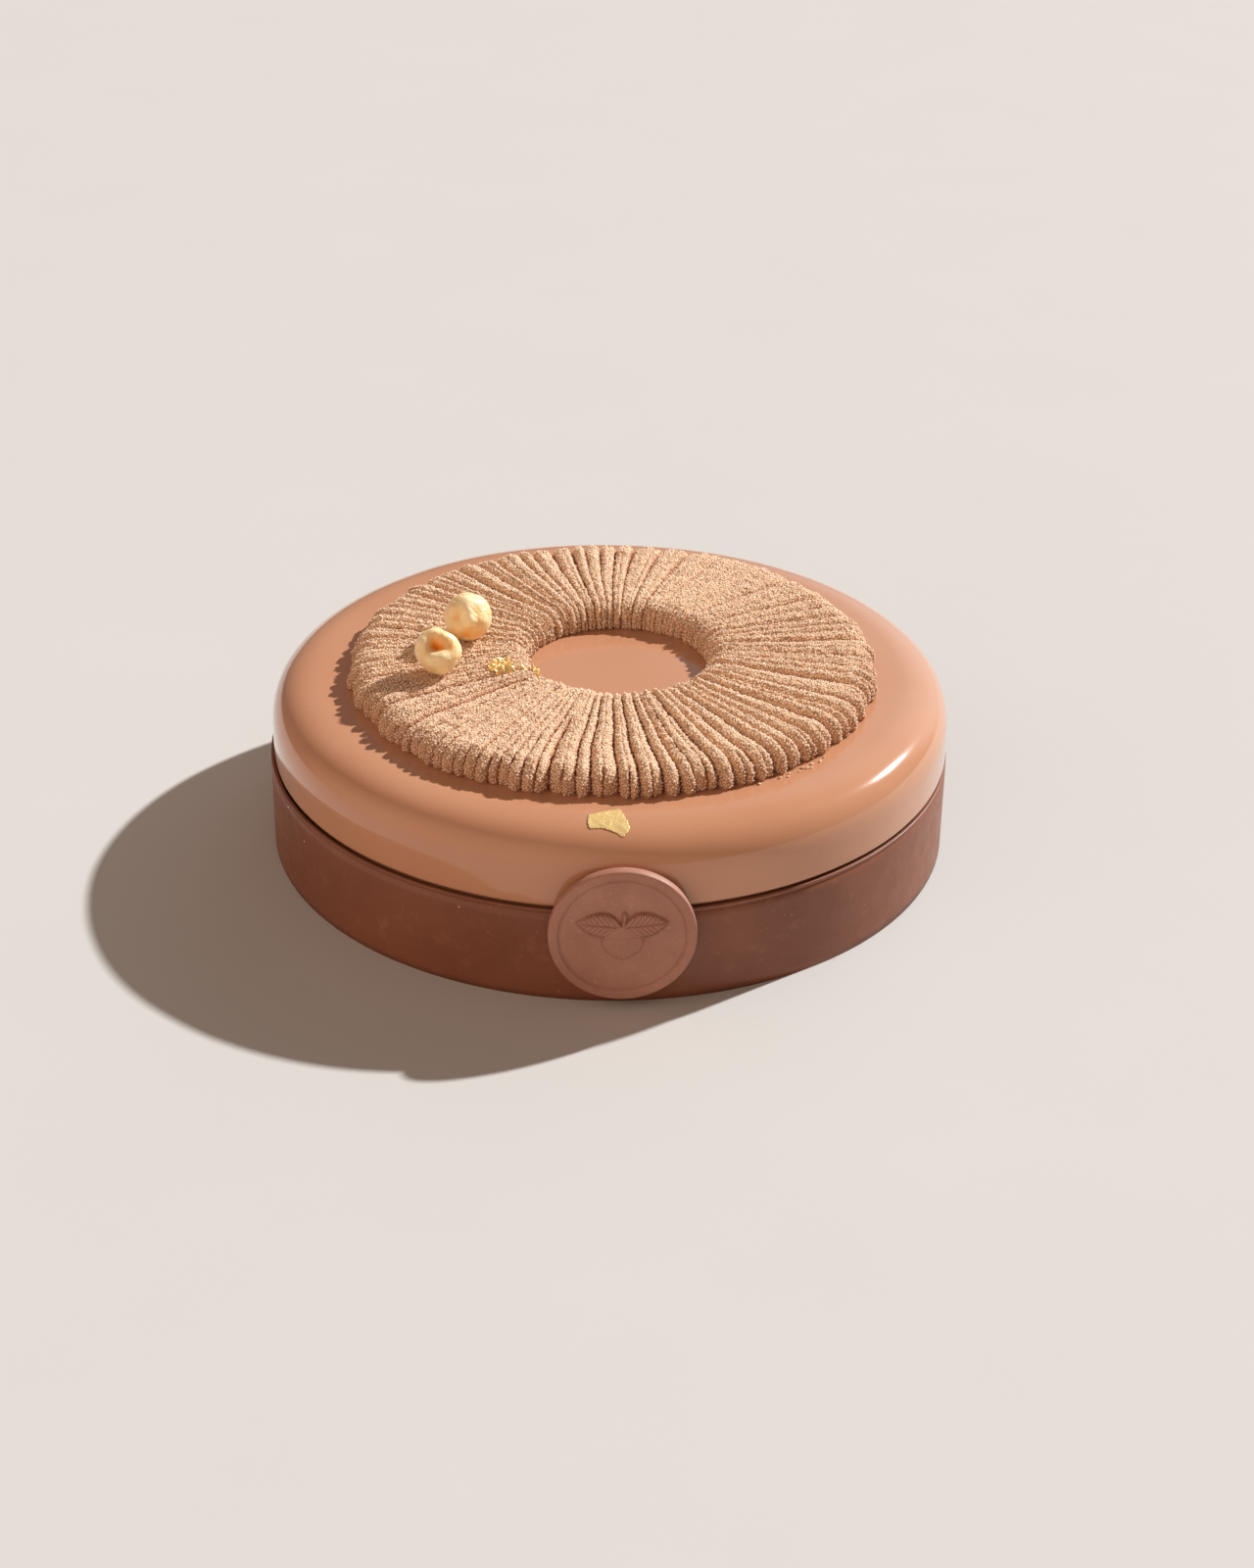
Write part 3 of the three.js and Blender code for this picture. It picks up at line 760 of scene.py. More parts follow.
def make_ring_mesh(size):
    """The pleated ring: pleats of beaded ropes side by side, drooping over the outer edge."""
    draw = np.random.default_rng(size.seed)
    columns = list_columns(list_grooves(size), size, draw)
    radius, height, outward, inward, along, facing_out, facing_up = list_section(size)
    cut, crevice = cut_depths(columns, radius, outward, size)

    rope = columns["rope"].astype(int)
    ropes = rope.max() + 1
    rope_hump = hump(columns["rope_share"])
    rise = draw.normal(0, 0.2 * MM, ropes).clip(-0.4 * MM, 0.25 * MM)[rope] * rope_hump
    reach_out = draw.normal(0, 0.75 * MM, ropes).clip(-1.3 * MM, 0.8 * MM)[rope] * rope_hump
    bead_phase = draw.uniform(0, 2 * math.pi, ropes)[rope]
    bead_spacing = 1.9 * MM

    angle = np.radians(columns["angle"])
    flat = np.stack([radius * np.cos(angle), radius * np.sin(angle), height + 0 * angle], axis=-1)
    sway = 0.14 * MM * ripple(flat * (1, 1, 0), 19 * MM, size.seed + 1)
    shiver = 0.11 * MM * ripple(flat, 1.7 * MM, size.seed + 5)
    lean = np.radians(5.5) * np.sin(angle) * (1 - radius / size.outer_radius)
    beads = 0.09 * MM * rope_hump * np.cos(2 * math.pi * along / bead_spacing + bead_phase)
    large_lumps = 0.13 * MM * ripple(flat, 4.5 * MM, size.seed + 3)
    small_lumps = 0.12 * MM * ripple(flat, 1.7 * MM, size.seed + 4)
    above_foot = smooth_step(0, 1 * MM, height)
    offset = (large_lumps + small_lumps + beads + rise * (1 - outward)) * above_foot - cut
    moved_radius = radius + facing_out * offset + outward * reach_out
    moved_height = height + facing_up * offset
    placed_angle = angle + (sway + shiver) / radius + lean
    hole_share = (size.outer_radius - radius) / (size.outer_radius - size.inner_radius)
    sunk = 0.3 * MM
    rows = np.stack([
        size.centre_x + size.hole_shift_x * hole_share + moved_radius * np.cos(placed_angle),
        size.centre_y + size.hole_shift_y * hole_share + moved_radius * np.sin(placed_angle),
        RING_LOW.z - sunk + moved_height * (1 + sunk / size.height),
    ], axis=-1)

    mesh = skin("piped_pleats", rows, wraps=True)
    # crevice and shade are masks for painted shade in the grooves and on the walls; grained leaves the
    # deepest crevices bare, so that the painted shade of the cream shows there as dark lines.
    paint(mesh, "crevice", crevice)
    paint(mesh, "wall", np.maximum(outward, inward) + 0 * cut)
    paint(mesh, "shade", np.maximum(outward, 0.4 * inward) + 0 * cut)
    paint(mesh, "grained", (height > 0.35 * MM) & (crevice < 0.67))
    return mesh


def make_grain_tree():
    """Strews grains over the part of a mesh whose wall number is between two limits."""
    tree, given = start_geometry_tree("Strew Grains", {
        "Least Wall": "Float",
        "Most Wall": "Float",
        "Spacing": "Float",
        "Radius": "Float",
        "Seed": "Int",
        "Material": "Material",
    })

    def compare(operation, name, limit):
        node = add_node(tree, "GeometryNodeInputNamedAttribute", {"Name": name}, data_type="FLOAT")
        inputs = {"A": output_of(node, "Attribute"), "B": limit}
        settings = {"data_type": "FLOAT", "operation": operation}
        return add_node(tree, "FunctionNodeCompare", inputs, **settings).outputs[0]

    above = compare("GREATER_EQUAL", "wall", given["Least Wall"])
    below = compare("LESS_THAN", "wall", given["Most Wall"])
    between = calculate(tree, "MULTIPLY", above, below)
    points = add_node(tree, "GeometryNodeDistributePointsOnFaces", {
        "Mesh": given["Geometry"],
        "Selection": calculate(tree, "MULTIPLY", between, compare("GREATER_THAN", "grained", 0.5)),
        "Distance Min": given["Spacing"],
        "Density Max": 6.0 / MM ** 2,
        "Seed": given["Seed"],
    }, distribute_method="POISSON")
    inputs = {"Segments": 4, "Rings": 2, "Radius": given["Radius"]}
    grain = add_node(tree, "GeometryNodeMeshUVSphere", inputs)
    grains = set_on_points(
        tree, points.outputs["Points"], grain.outputs["Mesh"],
        1, (0.65, 0.65, 0.65), (1.35, 1.35, 1.35), 2,
    )
    tone = random_value(tree, "FLOAT", 0.0, 1.0, 3)
    inputs = {"Geometry": grains, "Name": "tone", "Value": tone}
    toned = add_node(
        tree, "GeometryNodeStoreNamedAttribute", inputs, data_type="FLOAT", domain="INSTANCE",
    )
    end_geometry_tree(tree, toned.outputs["Geometry"], given["Material"])
    return tree


def make_cream_material(size):
    """The cream under the grains, with painted shade: darkened in a fine pattern as painted shade in the
    gaps between the grains, and darker and more orange as painted shade in the grooves and on the walls.
    """
    material, tree, shader, coordinates = start_material("velvet_cream")
    # Painted shade of the gaps between the grains: the cream under them is darkened in a fine random
    # pattern.
    shaded = dimmed(size.between_colour, 0.48)
    lightness = spread(tree, noise(tree, coordinates, 0.55), 0.4, 0.65)
    top = blend_colours(tree, lightness, shaded, size.between_colour)
    groove_painted_shade = spread(tree, attribute(tree, "crevice"), 0.32, 0.72)
    wall_painted_shade = spread(tree, attribute(tree, "shade"), 0.3, 1.0, 0.0, 0.45)
    painted_shade = calculate(tree, "MAXIMUM", groove_painted_shade, wall_painted_shade)
    set_shader(tree, shader, {
        "Base Color": blend_colours(tree, painted_shade, top, dimmed(size.groove_shade_colour, 0.52)),
        "Roughness": 0.95,
        "Specular IOR Level": 0.2,
    })
    bump(tree, shader, coordinates, (0.9, 2, 0.35), (0.55, 2, 0.2))
    return material


def make_grain_material(size):
    """Pale grains, each of its own tone, with painted shade that makes them darker and more orange in
    the grooves and on the walls.
    """
    material, tree, shader, coordinates = start_material("velvet_grains")
    toned = blend_colours(tree, attribute(tree, "tone"), size.colour, size.pale_colour)
    mottle = spread(tree, noise(tree, coordinates, 5, 3), 0.4, 0.75, 0.0, 0.12)
    mottled = blend_colours(tree, mottle, toned, size.groove_shade_colour)
    # Painted shade in the grooves and on the walls.
    groove_painted_shade = spread(tree, attribute(tree, "crevice"), 0.3, 0.67, 0.0, 0.7)
    wall_painted_shade = spread(tree, attribute(tree, "shade"), 0.3, 1.0, 0.0, 0.22)
    painted_shade = calculate(tree, "MAXIMUM", groove_painted_shade, wall_painted_shade)
    set_shader(tree, shader, {
        "Base Color": blend_colours(tree, painted_shade, mottled, size.groove_shade_colour),
        "Roughness": 0.9,
        "Specular IOR Level": 0.25,
    })
    bump(tree, shader, coordinates, (0.2, 1, 0.05))
    return material


class HAZELNUT_CAKE_OT_ring(Operator):
    """Makes the pleated ring and the velvet grains on it"""

    bl_idname = "hazelnut_cake.ring"
    bl_label = "Pleated Ring"

    def execute(self, context):
        size = context.scene.cake_ring
        mesh = make_ring_mesh(size)
        grain_material = make_grain_material(size)
        zones = (("velvet_grains_top", -1.0, 0.3, 11), ("velvet_grains_edge", 0.3, 2.0, 12))
        for name, least, most, seed in zones:
            grains = grow(name, mesh, make_grain_tree(), {
                "Least Wall": least,
                "Most Wall": most,
                "Spacing": size.grain_spacing,
                "Radius": size.grain_radius,
                "Seed": size.seed + seed,
                "Material": grain_material,
            })
            add_piece(name, grains, None, "piped_cream")
        add_piece("piped_pleats", mesh, make_cream_material(size), "piped_cream", "piped_ring")
        return {"FINISHED"}


# ---- Hazelnuts ----

# Each lump: its direction (x, y, z), its height in mm, its width in degrees and its toast and painted
# shading: dents get painted shade, darker and more orange, and raised lumps a paler painted light.
WHOLE_NUT_LUMPS = (
    (0.07, -0.96, 0.26, 0.75, 14, -0.7),
    (0, -0.75, 0.65, 0.45, 14, -0.5),
    (-0.03, -0.35, 0.93, 0.45, 16, -0.5),
    (0.6, -0.75, 0.3, 0.35, 18, 0),
    (-0.5, -0.8, -0.2, 0.35, 18, 0.1),
    (-0.45, -0.8, 0.45, -0.55, 20, 0.15),
    (0.45, -0.7, 0.6, -0.55, 20, 0.15),
    (0.1, -0.9, -0.35, -0.5, 24, 0.45),
    (0.05, 0.95, -0.1, -0.5, 34, 0.1),
)
HALF_NUT_LUMPS = (
    (-0.12, -0.76, 0.64, -3.4, 22, 0.8),
    (0.36, -0.68, 0.63, -1.6, 20, 0.5),
    (-0.25, -0.5, 0.83, -1.2, 18, 0.3),
    (0.1, -0.95, 0.05, 0.3, 24, -0.6),
    (0.5, 0.43, 0.75, -0.9, 18, 0.2),
    (1, 0, -0.05, 0.35, 25, -0.1),
    (0.15, -0.5, -0.86, 0.4, 26, -0.45),
    (-0.8, 0.2, 0.5, 0.3, 30, -0.2),
)
USUAL_TOAST_AND_SHADING = 0.28


class NutSettings(PropertyGroup):
    """The two blanched hazelnuts."""

    whole_radius: length("Whole Radius", "Radius of the whole kernel before its lumps", 6.3 * MM)
    half_radius: length("Half Radius", "Radius of the split kernel before its lumps", 5.85 * MM)
    pale_colour: tint("Pale Colour", "Blanched cream of the kernel", 252, 226, 178)
    golden_colour: tint("Golden Colour", "Golden flesh", 249, 205, 140)
    # Partly the kernel's real golden toast, partly painted shade: the orange-brown of the hollows and
    # the underside.
    toast_shade_colour: tint("Toasted Colour", "Toasted orange-brown in the hollow", 255, 164, 58)


def make_nut_mesh(name, node, lumps, radius, seed):
    """A kernel shaped by its lumps, set where its CAD node is."""
    shape = bmesh.new()
    bmesh.ops.create_icosphere(shape, subdivisions=6, radius=1)
    mesh = bpy.data.meshes.new(name)
    shape.to_mesh(mesh)
    shape.free()
    directions = np.zeros(len(mesh.vertices) * 3)
    mesh.vertices.foreach_get("co", directions)
    directions = directions.reshape(-1, 3)
    lengths = np.full(len(directions), radius)
    toast_and_shading = np.full(len(directions), USUAL_TOAST_AND_SHADING)
    for x, y, z, lump_height, width, lump_toast_and_shading in lumps:
        towards = np.array((x, y, z)) / np.linalg.norm((x, y, z))
        away = np.degrees(np.arccos(np.clip(directions @ towards, -1, 1)))
        nearness = bell(away, width)
        lengths += lump_height * MM * nearness
        toast_and_shading += lump_toast_and_shading * nearness
    lengths += 0.09 * MM * ripple(directions * radius, 4 * MM, seed)
    lengths += 0.03 * MM * ripple(directions * radius, 1.2 * MM, seed + 1)
    # Painted shade: the underside darker and more orange.
    toast_and_shading += 0.2 * smooth_step(-0.2, -0.9, directions[:, 2])
    toast_and_shading += 0.1 * ripple(directions * radius, 3 * MM, seed + 2)
    points = directions * lengths[:, None]
    low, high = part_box(node)
    points[:, 0] += (low.x + high.x) / 2 - (points[:, 0].min() + points[:, 0].max()) / 2
    points[:, 1] += (low.y + high.y) / 2 - (points[:, 1].min() + points[:, 1].max()) / 2
    points[:, 2] += low.z - points[:, 2].min()
    mesh.vertices.foreach_set("co", points.ravel())
    mesh.update()
    face_outwards(mesh)
    paint(mesh, "toast_and_shading", np.clip(toast_and_shading, 0, 1))
    return mesh


def make_nut_material(settings):
    material, tree, shader, coordinates = start_material("blanched_hazelnut")
    flecks = spread(tree, noise(tree, coordinates, 1.3, 4, 0.6), 0.3, 0.7, -0.12, 0.12)
    toast_and_shading = calculate(tree, "ADD", attribute(tree, "toast_and_shading"), flecks)
    # Pale, golden and orange-brown by toast and painted shading; the orange-brown in the hollows and
    # underside is painted shade.
    flesh_share = spread(tree, toast_and_shading, 0.12, 0.5)
    golden = blend_colours(tree, flesh_share, settings.pale_colour, settings.golden_colour)
    set_shader(tree, shader, {
        "Base Color": blend_colours(
            tree, spread(tree, toast_and_shading, 0.5, 0.95), golden, settings.toast_shade_colour,
        ),
        "Roughness": 0.34,
        "Subsurface Weight": 0.3,
        "Subsurface Scale": 1.6 * MM,
        "Specular IOR Level": 0.45,
    })
    bump(tree, shader, coordinates, (1.6, 3, 0.12), (0.3, 2, 0.02))
    return material


class HAZELNUT_CAKE_OT_nuts(Operator):
    """Makes the whole hazelnut and the split one"""

    bl_idname = "hazelnut_cake.nuts"
    bl_label = "Hazelnuts"

    def execute(self, context):
        settings = context.scene.cake_nuts
        material = make_nut_material(settings)
        kernels = (
            ("whole_kernel", "hazelnut_whole", WHOLE_NUT_LUMPS, settings.whole_radius, 21),
            ("split_kernel", "hazelnut_half", HALF_NUT_LUMPS, settings.half_radius, 31),
        )
        for name, node, lumps, radius, seed in kernels:
            mesh = make_nut_mesh(name, node, lumps, radius, seed)
            add_piece(name, mesh, material, "hazelnut", node)
        return {"FINISHED"}


# ---- Gold leaf ----

# Outlines and the strip's path in mm, seen from above.
FRONT_LEAF = (
    (-7.9, -76.9), (-4.2, -75.7), (-0.3, -74.5), (0.5, -76.7), (1.9, -82.3), (1.5, -83.3),
    (0.5, -84.8), (-0.3, -84.7), (-1.2, -83.9), (-2.1, -83.4), (-4.0, -82.6), (-5.2, -82.2),
    (-5.3, -81.3), (-5.5, -82.3), (-7.5, -82.3), (-8.0, -81.7), (-8.2, -79.8),
)
RING_LEAF = (
    (-32.3, -10.5), (-30.9, -8.7), (-28.6, -6.5), (-26.4, -7.4), (-25.2, -9.8), (-25.3, -12.9),
    (-27.7, -13.5), (-29.8, -14.5), (-31.7, -13.9),
)
STRIP_PATH = (
    (-25.4, -12.2), (-23.1, -11.6), (-21.0, -10.8), (-19.7, -11.8), (-18.7, -13.0), (-18.7, -15.4),
)
# How high each flat sheet is crumpled, and the strip's middling half width.
FRONT_CRUMPLE = 0.12 * MM
RING_CRUMPLE = 1.2 * MM
STRIP_HALF_WIDTH = 0.55 * MM


class LeafSettings(PropertyGroup):
    """The flecks of gold leaf."""

    thickness: length("Thickness", "Thickness of the leaf as modelled", 0.07 * MM)
    colour: tint("Colour", "Gold of the leaf", 255, 224, 158)
    deep_colour: tint("Deep Colour", "Gold in the leaf's folds", 246, 204, 126)


def in_the_plane(plan):
    """Places (x, y) as points at height 0."""
    return np.concatenate([plan, np.zeros((*plan.shape[:-1], 1))], axis=-1)


def make_flat_leaf(name, outline, height_at, thickness, crumple, seed):
    """A ragged sheet inside an outline, lying on a surface, crumpled to that height."""
    corners = [(x * MM, y * MM) for x, y in outline]
    border = np.array(even_steps([*corners, corners[0]], 0.16 * MM)[:-1])
    flat_border = in_the_plane(border)
    middle = border.mean(axis=0)
    outwards = (border - middle) / np.linalg.norm(border - middle, axis=1)[:, None]
    ragged = ripple(flat_border, 1.1 * MM, seed) + ripple(flat_border, 0.4 * MM, seed + 1)
    border = border + outwards * (0.07 * MM * ragged)[:, None]
    shares = np.linspace(0.03, 1, 26)
    plan = middle + (border - middle)[None] * shares[:, None, None]
    flat_plan = in_the_plane(plan)
    folds = 1 - np.abs(ripple(flat_plan, 3.4 * MM, seed + 2)).clip(0, 1)
    crinkle = 0.5 + 0.25 * ripple(flat_plan, 1.2 * MM, seed + 3)
    rise = crumple * (0.75 * folds ** 2 + 0.25 * crinkle)
    ground = np.array([[height_at(x, y) for x, y in row] for row in plan])
    if crumple > 0.5 * MM:
        ground = np.minimum(ground, np.median(ground) + 1.5 * MM)
    under = ground + 0.06 * MM + rise
    lower = np.concatenate([plan, under[..., None]], axis=2)
    upper = lower + (0, 0, thickness)
    return skin(name, np.concatenate([lower, upper[::-1]]))


def make_strip_leaf(name, path, height_at, thickness):
    """A narrow curled ribbon along a path, lifted clear of what is under it."""
    line = np.array(even_steps([(x * MM, y * MM) for x, y in path], 0.2 * MM))
    along = np.linspace(0, 1, len(line))
    heading = np.gradient(line, axis=0)
    heading /= np.linalg.norm(heading, axis=1)[:, None]
    aside = np.stack([-heading[:, 1], heading[:, 0], np.zeros(len(line))], axis=1)
    half_width = STRIP_HALF_WIDTH * (0.35 + np.sin(math.pi * along) ** 0.5)
    half_width += 0.08 * MM * ripple(in_the_plane(line), 1.2 * MM, 51)
    ground = np.array([height_at(x, y) for x, y in line])
    lift = 0.45 * MM + 0.6 * MM * np.sin(2.5 * math.pi * along) ** 2
    roll = 1.1 * np.sin(3 * math.pi * along)
    centre = np.column_stack([line, ground + lift + half_width * np.abs(np.sin(roll))])
    across = aside * np.cos(roll)[:, None] + np.array((0, 0, 1)) * np.sin(roll)[:, None]
    depth = np.cross(in_the_plane(heading), across) * (thickness / 2)
    across = across * half_width[:, None]
    loop = [
        centre - across - depth,
        centre - depth,
        centre + across - depth,
        centre + across + depth,
        centre + depth,
        centre - across + depth,
    ]
    return skin(name, np.stack(loop, axis=1))


def make_gold_material(settings):
    material, tree, shader, coordinates = start_material("gold_leaf_foil")
    crinkle = noise(tree, coordinates, 0.8, 3)
    lightness = spread(tree, crinkle, 0.35, 0.65)
    set_shader(tree, shader, {
        "Base Color": blend_colours(tree, lightness, settings.deep_colour, settings.colour),
        "Roughness": spread(tree, crinkle, 0.3, 0.7, 0.38, 0.22),
        "Metallic": 0.35,
    })
    bump(tree, shader, coordinates, (1.4, 2, 0.16), (0.4, 2, 0.06))
    return material


class HAZELNUT_CAKE_OT_gold_leaf(Operator):
    """Makes the flecks of gold leaf on the glaze and the ring"""

    bl_idname = "hazelnut_cake.gold_leaf"
    bl_label = "Gold Leaf"

    def execute(self, context):
        size = context.scene.cake_leaf
        material = make_gold_material(size)
        on_glaze = make_surface_finder("glazed_body")
        on_ring = make_surface_finder("piped_pleats", "glazed_body")
        thickness = size.thickness
        flat_leaves = (
            ("gold_fleck_front", "gold_leaf_front", FRONT_LEAF, on_glaze, FRONT_CRUMPLE, 61),
            ("gold_fleck_ring", "gold_leaf_ring", RING_LEAF, on_ring, RING_CRUMPLE, 71),
        )
        for name, node, outline, height_at, crumple, seed in flat_leaves:
            mesh = make_flat_leaf(name, outline, height_at, thickness, crumple, seed)
            add_piece(name, mesh, material, "gold_leaf", node)
        strip = make_strip_leaf("gold_fleck_strip", STRIP_PATH, on_ring, thickness)
        add_piece("gold_fleck_strip", strip, material, "gold_leaf", "gold_leaf_strip")
        return {"FINISHED"}


# ---- Chocolate seal ----

class SealSettings(PropertyGroup):
    """The round chocolate seal at the front."""

    radius: length("Radius", "Radius of the seal", (SEAL_HIGH.x - SEAL_LOW.x) / 2)
    thickness: length("Thickness", "Thickness of the seal", SEAL_HIGH.y - SEAL_LOW.y)
    rim_width: length("Rim Width", "Width of the rounded rim", 2.4 * MM)
    field_depth: length("Field Depth", "How far the field lies below the rim", 0.3 * MM)
    relief: length("Relief", "How far the motif stands out", 0.75 * MM)
    outline_depth: length("Outline Depth", "Depth of the line cut round the motif", 0.25 * MM)
    colour: tint("Colour", "Chocolate of the seal", 174, 121, 100)
    dark_colour: tint("Dark Colour", "Darker chocolate in the seal", 163, 109, 88)
    bloom_colour: tint("Bloom Colour", "Dusty specks on the seal", 208, 163, 140)


def dome(inside, width):
    """Rises as a quarter circle from 0 at a shape's edge to 1 that width inside it."""
    return np.sqrt(1 - (1 - np.clip(inside / width, 0, 1)) ** 2)


def kernel_relief(across, up, width, height):
    """A hazelnut from the side, with a pointed foot and a scalloped cap, as its relief from
    0 to 1 and how far inside its edge each place lies."""
    share = np.clip(up / height + 0.5, 0, 1)
    curve = np.linspace(0, 1, 80)
    rest = 1 - curve
    edge_across = 3 * rest ** 2 * curve * 0.75 * width + 3 * rest * curve ** 2 * 0.6 * width
    edge_up = 3 * rest ** 2 * curve * 0.25 + 3 * rest * curve ** 2 + curve ** 3
    half_width = np.interp(share, edge_up, edge_across)
    inside = half_width - np.abs(across) - np.maximum(np.abs(up) - height / 2, 0)
    bow = across / np.maximum(half_width, 0.5 * MM)
    striped = 1 - 0.2 * (0.5 + 0.5 * np.cos(bow * 16))
    cap_line = 0.16 * height + 0.35 * MM * np.cos(bow * 11)
    cap = smooth_step(-0.1 * MM, 0.1 * MM, up - cap_line)
    return dome(inside, 0.25 * width) * (striped * (1 - cap) * 0.65 + cap), inside


def leaf_relief(across, up, reach, width, rise):
    """A toothed leaf with sunken veins, as its relief from 0 to 1 and how far inside its edge
    each place lies."""
    turned = math.radians(rise)
    along = across * math.cos(turned) + up * math.sin(turned)
    aside = -across * math.sin(turned) + up * math.cos(turned)
    share = np.clip(along / reach, 0, 1)
    bend = (np.sqrt(0.64 + 0.8 * share) - 0.8) / 0.4
    half_width = 2 * bend * (1 - bend) * width
    teeth = 1 + 0.09 * np.sin(along / (0.62 * MM) * 2 * math.pi)
    past_the_end = np.maximum(np.maximum(-along, along - reach), 0)
    inside = half_width * teeth - np.abs(aside) - past_the_end
    slant = along - np.abs(aside) * 0.9
    side_veins = np.exp(-((slant / (1.35 * MM) + 0.5) % 1 - 0.5) ** 2 / 0.012)
    veins = np.maximum(bell(aside, 0.2 * MM), 0.6 * side_veins)
    return dome(inside, 0.8 * MM) * (1 - 0.6 * veins), inside


def seal_face(across, up, size):
    """How far the seal's face stands above its field, at places measured from its middle."""
    away = np.hypot(across, up)
    rim_inner = size.radius - size.rim_width
    rim = size.field_depth * smooth_step(rim_inner - 0.1 * MM, rim_inner + 0.35 * MM, away)
    groove = 0.22 * MM * bell(away - rim_inner + 0.25 * MM, 0.22 * MM)
    leaf_foot = 2.6 * MM
    leaf_size = (11 * MM, 6.5 * MM, 7)
    stem_top = 6.4 * MM
    stem_bend = across - 0.5 * MM * np.sin((up - leaf_foot) / (2.2 * MM))
    stem_end = np.maximum(np.maximum(leaf_foot - up, up - stem_top), 0)
    stem_inside = 0.42 * MM - np.abs(stem_bend) - stem_end
    shapes = (
        kernel_relief(across, up + 1.8 * MM, 9.5 * MM, 9.5 * MM),
        leaf_relief(across, up - leaf_foot, *leaf_size),
        leaf_relief(-across, up - leaf_foot, *leaf_size),
        (dome(stem_inside, 0.4 * MM), stem_inside),
    )
    reliefs, insides = zip(*shapes)
    motif = np.max(reliefs, axis=0)
    outline = bell(np.max(insides, axis=0) + 0.2 * MM, 0.2 * MM)
    return rim - groove + size.relief * motif - size.outline_depth * outline


def make_seal_mesh(name, size):
    """A disc whose face is a fine height field, with a rounded edge and a flat back."""
    cells = 250
    ticks = np.linspace(-1, 1, cells + 1)
    across, up = np.meshgrid(ticks, ticks)
    face_radius = size.radius - 0.5 * MM
    larger = np.maximum(np.abs(across), np.abs(up))
    to_disc = np.where(larger > 0, larger / np.maximum(np.hypot(across, up), 1e-9), 0)
    across = across * to_disc * face_radius
    up = up * to_disc * face_radius
    flat = np.stack([across, up, np.zeros_like(up)], axis=-1)
    height = seal_face(across, up, size) + 0.03 * MM * ripple(flat, 3 * MM, 81)
    field = size.thickness - size.field_depth

    index = np.arange((cells + 1) ** 2).reshape(cells + 1, cells + 1)
    quads = np.stack([index[:-1, :-1], index[:-1, 1:], index[1:, 1:], index[1:, :-1]], axis=2)
    faces = quads.reshape(-1, 4).tolist()
    points = np.stack([across, up, field + height], axis=-1).reshape(-1, 3)
    border = np.concatenate([index[0, :-1], index[:-1, -1], index[-1, :0:-1], index[:0:-1, 0]])
    directions = points[border, :2] / np.linalg.norm(points[border, :2], axis=1)[:, None]
    edge_outline = (
        (size.radius - 0.15 * MM, size.thickness - 0.15 * MM),
        (size.radius, size.thickness - 0.6 * MM),
        (size.radius, 0.7 * MM),
        (size.radius - 0.25 * MM, 0.2 * MM),
        (size.radius - 0.8 * MM, 0),
    )
    last = border
    for radius, depth in edge_outline:
        loop = np.arange(len(border)) + len(points)
        points = np.vstack([points, np.insert(directions * radius, 2, depth, axis=1)])
        strip = np.stack([last, loop, np.roll(loop, -1), np.roll(last, -1)], axis=1)
        faces.extend(strip.tolist())
        last = loop
    middle = len(points)
    points = np.vstack([points, (0, 0, 0)])
    for here, there in zip(last.tolist(), np.roll(last, -1).tolist()):
        faces.append((here, middle, there))

    centre_z = (SEAL_LOW.z + SEAL_HIGH.z) / 2
    stood = np.column_stack([points[:, 0], SEAL_HIGH.y - points[:, 2], centre_z + points[:, 1]])
    mesh = new_mesh(name, stood.tolist(), faces=faces)
    face_outwards(mesh)
    return mesh


def make_seal_material(settings):
    material, tree, shader, coordinates = start_material("seal_chocolate_matte")
    clouds = spread(tree, noise(tree, coordinates, 9, 4), 0.3, 0.7)
    colour = blend_colours(tree, clouds, settings.dark_colour, settings.colour)
    dust = spread(tree, noise(tree, coordinates, 0.8), 0.62, 0.8, 0.0, 0.4)
    set_shader(tree, shader, {
        "Base Color": blend_colours(tree, dust, colour, settings.bloom_colour),
        "Roughness": spread(tree, noise(tree, coordinates, 3, 3), 0.3, 0.7, 0.5, 0.64),
    })
    bump(tree, shader, coordinates, (1.5, 3, 0.05), (0.3, 2, 0.015))
    return material


class HAZELNUT_CAKE_OT_seal(Operator):
    """Makes the round chocolate seal with its hazel sprig"""

    bl_idname = "hazelnut_cake.seal"
    bl_label = "Chocolate Seal"

    def execute(self, context):
        size = context.scene.cake_seal
        mesh = make_seal_mesh("hazel_seal", size)
        add_piece("hazel_seal", mesh, make_seal_material(size), "seal_chocolate", "seal")
        return {"FINISHED"}


# ---- Crumbs ----

# Angle about the ring's middle and distance from it in mm, of crumbs beside the ring.
CRUMBS_BY_RING = (
    (303.6, 70.6), (305.2, 71.3), (306.1, 70.4), (308.4, 71.0), (309.9, 70.3), (311.3, 71.6),
    (312.5, 70.5), (314.6, 71.0), (316.4, 70.4), (310.6, 71.1), (298.5, 70.5),
)
# Angle about the cake's middle and height in mm, of specks on the band's outside.
SPECKS_ON_BAND = ((202.0, 23.4), (208.6, 18.6), (244.1, 21.9))
# Angle about the cake's middle and distance from it in mm, of the crumb beside the band.
CRUMB_BY_BAND = (306.7, 90.9)


class CrumbSettings(PropertyGroup):
    """Loose crumbs and specks of the velvet."""

    radius: length("Radius", "Radius of a middling crumb", 0.42 * MM)
    seed: whole_number("Seed", "Draws other crumbs of the same kind", 5)


